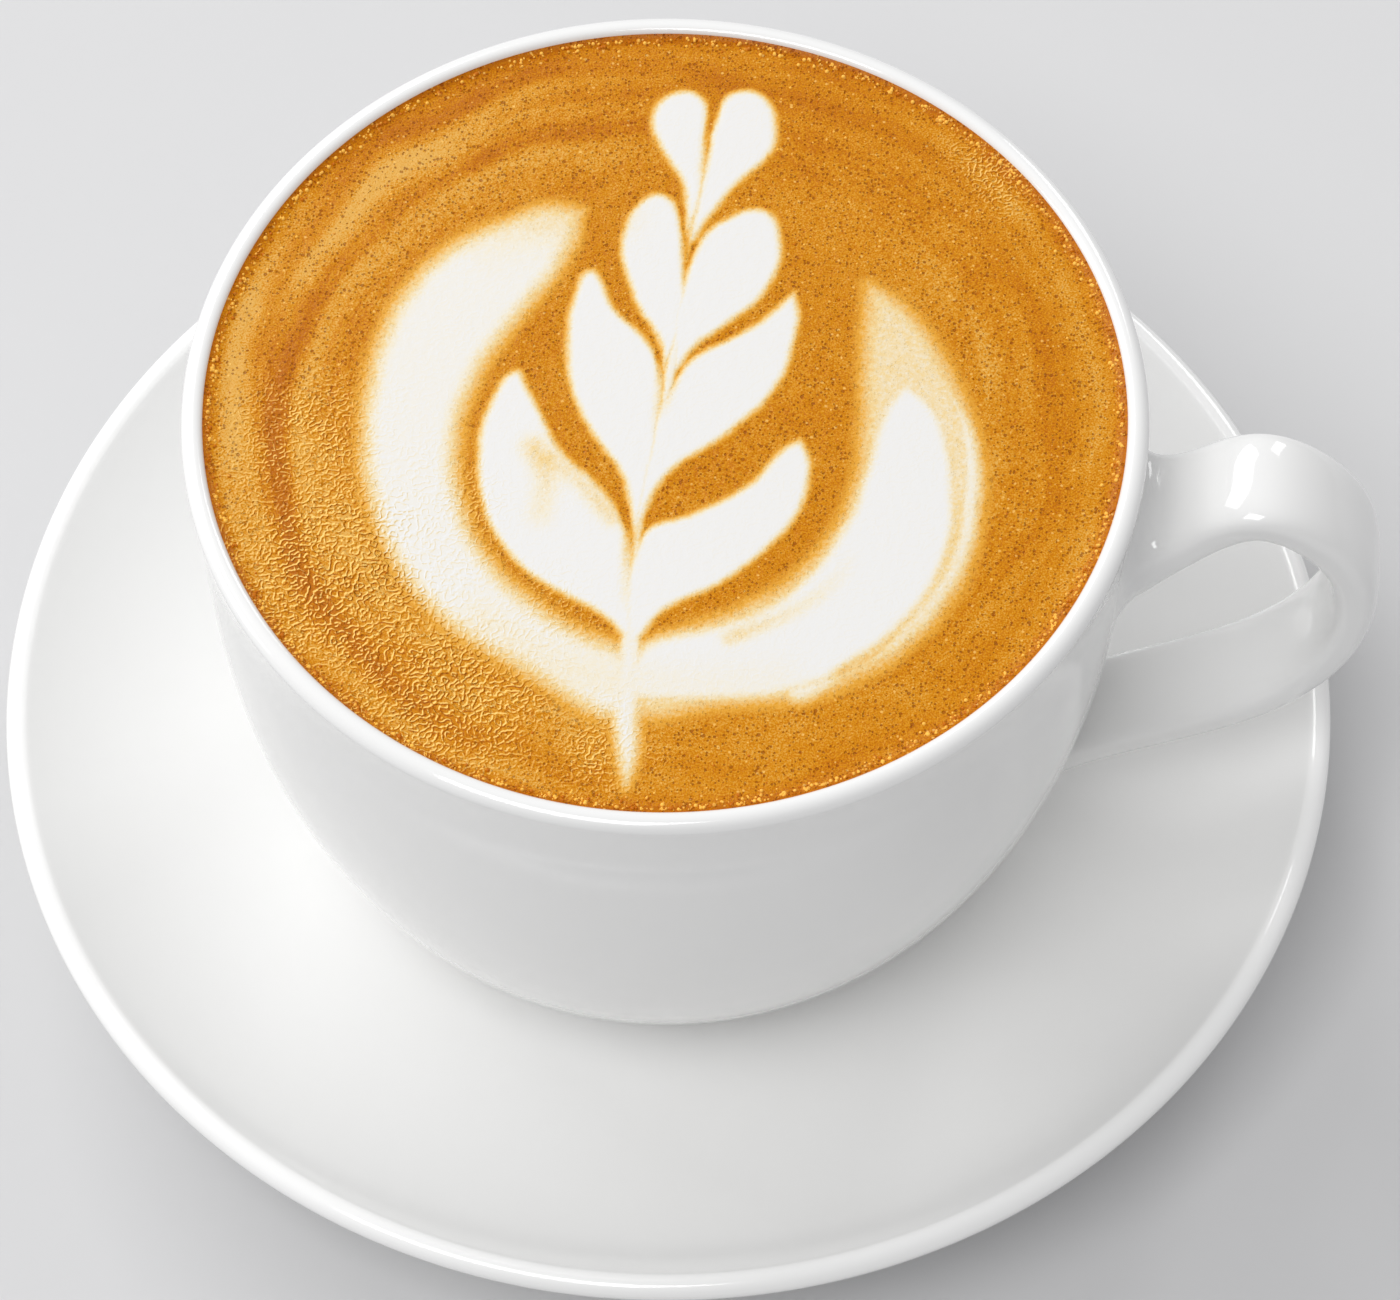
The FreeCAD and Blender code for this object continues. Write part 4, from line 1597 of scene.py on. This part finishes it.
    def froth(self, places: np.ndarray) -> np.ndarray:
        """How rough the bubbles make the surface, and where the froth's relief is painted in light, shade
        and highlights: the most that any patch gives, made uneven.

        Args:
            places: x and y of each place.

        Returns:
            Froth from 0 to 1.
        """
        rough = np.full(len(places), self.least_froth)
        for patch in self.froth_patches:
            rough = np.maximum(rough, patch.cover(places))
        return np.clip(rough * (1 + self.froth_change * ripple(places, Ripple.FROTH_PATCHES)), 0.0, 1.0)

    def fields(self, flat: np.ndarray, below: int) -> dict[str, np.ndarray]:
        """The numbers that the crema's material reads, kept at the edge's value below it.

        Args:
            flat: x and y of each place of the surface.
            below: how many rows follow the surface's own.

        Returns:
            Milk, tone and froth by row and column.
        """
        found = {"milk": self.art.milk(flat), "tone": self.tone(flat), "froth": self.froth(flat)}
        rows = np.minimum(np.arange(self.surface_rows + below), self.surface_rows - 1)
        return {label: values.reshape(self.surface_rows, -1)[rows] for label, values in found.items()}

    def build(self) -> bpy.types.Object:
        """Makes the whole drink: its surface, and under it the shape of the cup's inside.

        Returns:
            The drink.
        """
        radius = np.linspace(0.25, self.radius, self.surface_rows)
        well = self.body.well()
        well = evenly(well[well[:, 1] < self.edge_z - self.well_starts], self.well_rows)
        well = well + (self.into_wall, 0.0)
        surface = np.stack([radius, self.level(radius, self.radius)], axis=-1)
        grid = turned(np.concatenate([surface, well]), self.columns)
        flat = grid[: self.surface_rows, :, :2].reshape(-1, 2)
        fields = self.fields(flat, self.well_rows)
        milk = fields["milk"][: self.surface_rows]
        uneven = self.unevenness * ripple(flat, Ripple.SURFACE).reshape(milk.shape)
        lift = self.art_relief * ease(milk) + uneven * (1 - self.foam_smoothness * milk)
        grid[: self.surface_rows, :, 2] += lift * ease((self.radius - radius) / self.level_edge)[:, None]
        piece = skin("drink", grid, Crema().material(), sharp_rows=(self.surface_rows - 1,), fields=fields)
        settle(piece, "latte", "latte")
        return piece


@dataclass
class Bubbles:
    """Small bubbles on the crema: a broken ring along the wall, and a scatter further in."""

    drink: Drink
    ring_count: int = 1500
    scatter_count: int = 520
    smallest: float = 0.08
    largest: float = 0.27
    ring_lean: float = 0.55
    ring_gap: float = 0.15
    ring_spread: float = 0.40
    scatter_growth: float = 0.10
    scatter_lean: float = 0.5
    scatter_reach: tuple[float, float] = (0.45, 0.97)
    most_milk: float = 0.15
    sunk: float = 0.25
    rows: int = 3
    columns: int = 8
    seed: int = 45

    def spheres(self, centres: np.ndarray, sizes: np.ndarray) -> tuple[np.ndarray, np.ndarray]:
        """Every bubble as a small closed ball: centre plus size times a unit ball's points.

        Args:
            centres: x, y and z of each bubble.
            sizes: radius of each bubble.

        Returns:
            All points, and the corners of all faces as triangles.
        """
        tilt = np.linspace(0.0, math.pi, self.rows + 2)[1:-1, None]
        turn = np.arange(self.columns)[None, :] * FULL_TURN / self.columns
        ring = np.stack([np.sin(tilt) * np.cos(turn), np.sin(tilt) * np.sin(turn),
                         np.cos(tilt) + np.zeros_like(turn)], axis=-1).reshape(-1, 3)
        ball = np.concatenate([ring, [[0.0, 0.0, 1.0], [0.0, 0.0, -1.0]]])
        ids = np.arange(self.rows * self.columns).reshape(self.rows, self.columns)
        ahead = np.roll(ids, -1, axis=1)
        a, b, c, d = ids[:-1].ravel(), ids[1:].ravel(), ahead[1:].ravel(), ahead[:-1].ravel()
        top, low = np.full(self.columns, len(ring)), np.full(self.columns, len(ring) + 1)
        faces = np.concatenate([np.stack([a, b, c], axis=-1), np.stack([a, c, d], axis=-1),
                                np.stack([top, ids[0], ahead[0]], axis=-1),
                                np.stack([low, ahead[-1], ids[-1]], axis=-1)])
        points = centres[:, None, :] + sizes[:, None, None] * ball
        faces = faces[None] + (np.arange(len(centres)) * len(ball))[:, None, None]
        return points.reshape(-1, 3), faces.reshape(-1, 3)

    def scatter(self) -> tuple[np.ndarray, np.ndarray]:
        """Centres and radii of all bubbles, seeded, a little sunk and kept off the milk.

        Returns:
            x, y and z of each bubble, and its radius.
        """
        chance = np.random.default_rng(self.seed)
        edge = self.drink.radius - self.drink.into_wall
        angle = chance.uniform(0.0, FULL_TURN, self.ring_count)
        growth = chance.power(self.ring_lean, self.ring_count)
        size = self.smallest + (self.largest - self.smallest) * growth
        radius = edge - size - self.ring_gap - chance.exponential(self.ring_spread, self.ring_count)
        inner_angle = chance.uniform(0.0, FULL_TURN, self.scatter_count)
        inner_growth = chance.power(self.scatter_lean, self.scatter_count)
        inner_size = self.smallest + self.scatter_growth * inner_growth
        inner_radius = edge * chance.uniform(*self.scatter_reach, self.scatter_count)
        angle, size = np.append(angle, inner_angle), np.append(size, inner_size)
        radius = np.append(radius, inner_radius)
        flat = np.stack([radius * np.cos(angle), radius * np.sin(angle)], axis=-1)
        kept = self.drink.art.milk(flat) < self.most_milk
        height = self.drink.level(radius, edge) - self.sunk * size
        centres = np.concatenate([flat, height[:, None]], axis=1)
        return centres[kept], size[kept]

    def build(self) -> bpy.types.Object:
        """Joins every bubble in one mesh and dresses it.

        Returns:
            The bubbles.
        """
        points, faces = self.spheres(*self.scatter())
        mesh = bpy.data.meshes.new("crema_bubbles")
        mesh.from_pydata((points * MM).tolist(), [], faces.tolist())
        mesh.polygons.foreach_set("use_smooth", np.ones(len(mesh.polygons), dtype=bool))
        mesh.materials.append(BubbleFilm().material())
        piece = bpy.data.objects.new("crema_bubbles", mesh)
        bpy.context.scene.collection.objects.link(piece)
        settle(piece, "latte")
        return piece


# ---- studio ----


def outward(azimuth: float, elevation: float) -> Vector:
    """Unit direction outwards from the cup: (sin a cos e, -cos a cos e, sin e).

    Args:
        azimuth: degrees round from the front, towards the handle.
        elevation: degrees above the horizon.

    Returns:
        The direction.
    """
    turn, tilt = math.radians(azimuth), math.radians(elevation)
    return Vector((math.sin(turn) * math.cos(tilt), -math.cos(turn) * math.cos(tilt), math.sin(tilt)))


@dataclass(frozen=True)
class Softbox:
    """A rectangular studio light that faces the cup."""

    name: str
    azimuth: float
    elevation: float
    distance: float
    wide: float
    high: float
    watts: float

    def hang(self, aim: Vector) -> None:
        """Makes the light at its place round the aim, facing it.

        Args:
            aim: the place that it faces, in metres.
        """
        lamp = bpy.data.lights.new(self.name, "AREA")
        lamp.shape, lamp.size, lamp.size_y, lamp.energy = "RECTANGLE", self.wide, self.high, self.watts
        light = bpy.data.objects.new(self.name, lamp)
        back = outward(self.azimuth, self.elevation)
        light.location = aim + back * self.distance
        light.rotation_euler = (-back).to_track_quat("-Z", "Y").to_euler()
        bpy.context.scene.collection.objects.link(light)


@dataclass
class Studio:
    """Pale floor, even light all round and softboxes."""

    floor_size: float = 6.0
    sky: Colour = screen(250, 250, 252)
    sky_strength: float = 0.465
    lights: tuple[Softbox, ...] = (
        Softbox("left_window", -97.0, 20.0, 2.0, 1.2, 0.9, 10.0),
        Softbox("back_window", -137.0, 46.0, 2.2, 1.65, 0.8, 20.0),
        Softbox("back_strip", 157.0, 34.0, 2.2, 0.4, 0.9, 5.0),
        Softbox("front_fill", -24.0, 64.0, 2.2, 1.1, 0.9, 19.5),
    )

    def build(self) -> None:
        """Lays the floor, sets the world's light and hangs the softboxes."""
        half = self.floor_size / 2
        mesh = bpy.data.meshes.new("floor")
        mesh.from_pydata([(-half, -half, 0), (half, -half, 0), (half, half, 0), (-half, half, 0)],
                         [], [(0, 1, 2, 3)])
        mesh.materials.append(PaleFloor().material())
        floor = bpy.data.objects.new("floor", mesh)
        bpy.context.scene.collection.objects.link(floor)
        floor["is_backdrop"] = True
        world = bpy.data.worlds.new("studio_air")
        world.use_nodes = True
        air = world.node_tree.nodes["Background"]
        air.inputs["Color"].default_value = self.sky
        air.inputs["Strength"].default_value = self.sky_strength
        bpy.context.scene.world = world
        low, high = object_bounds()
        for light in self.lights:
            light.hang((Vector(low) + Vector(high)) / 2)
        bpy.context.scene.view_settings.view_transform = "Standard"
        log.info("studio: %d softboxes", len(self.lights))


@dataclass(frozen=True)
class Viewpoint:
    """The camera, aimed at a place on the level of the drink's edge."""

    azimuth: float = 5.0
    elevation: float = 59.55
    roll: float = -0.13
    distance: float = 574.2
    aim_right: float = 3.54
    aim_forward: float = -28.71
    lens: float = 147.1
    sensor: float = 36.0
    nearest: float = 0.01
    farthest: float = 20.0

    def build(self, level: float) -> None:
        """Makes the camera and gives it to the scene.

        Args:
            level: height of the aimed place, in millimetres.
        """
        back = outward(self.azimuth, self.elevation)
        turn = math.radians(self.azimuth)
        right = Vector((math.cos(turn), math.sin(turn), 0.0))
        forward = Vector((-math.sin(turn), math.cos(turn), 0.0))
        aim = (right * self.aim_right + forward * self.aim_forward + Vector((0.0, 0.0, level))) * MM
        up = back.cross(right)
        lean = Matrix.Rotation(math.radians(self.roll), 3, back)
        facing = Matrix((lean @ right, lean @ up, back)).transposed()
        data = bpy.data.cameras.new("viewpoint")
        data.lens, data.sensor_width = self.lens, self.sensor
        data.clip_start, data.clip_end = self.nearest, self.farthest
        camera = bpy.data.objects.new("viewpoint", data)
        camera.matrix_world = Matrix.Translation(aim + back * self.distance * MM) @ facing.to_4x4()
        bpy.context.scene.collection.objects.link(camera)
        bpy.context.scene.camera = camera
        log.info("viewpoint: %.1f mm lens at %.0f mm", self.lens, self.distance)


def main() -> None:
    """Builds every piece in order, then the studio and the camera."""
    Saucer().build()
    bowl = CupBody()
    bowl.build()
    StrapHandle(bowl).build()
    drink = Drink(bowl)
    drink.build()
    Bubbles(drink).build()
    Studio().build()
    Viewpoint().build(drink.edge_z)
    bpy.context.view_layer.update()


if __name__ == "__main__":
    main()
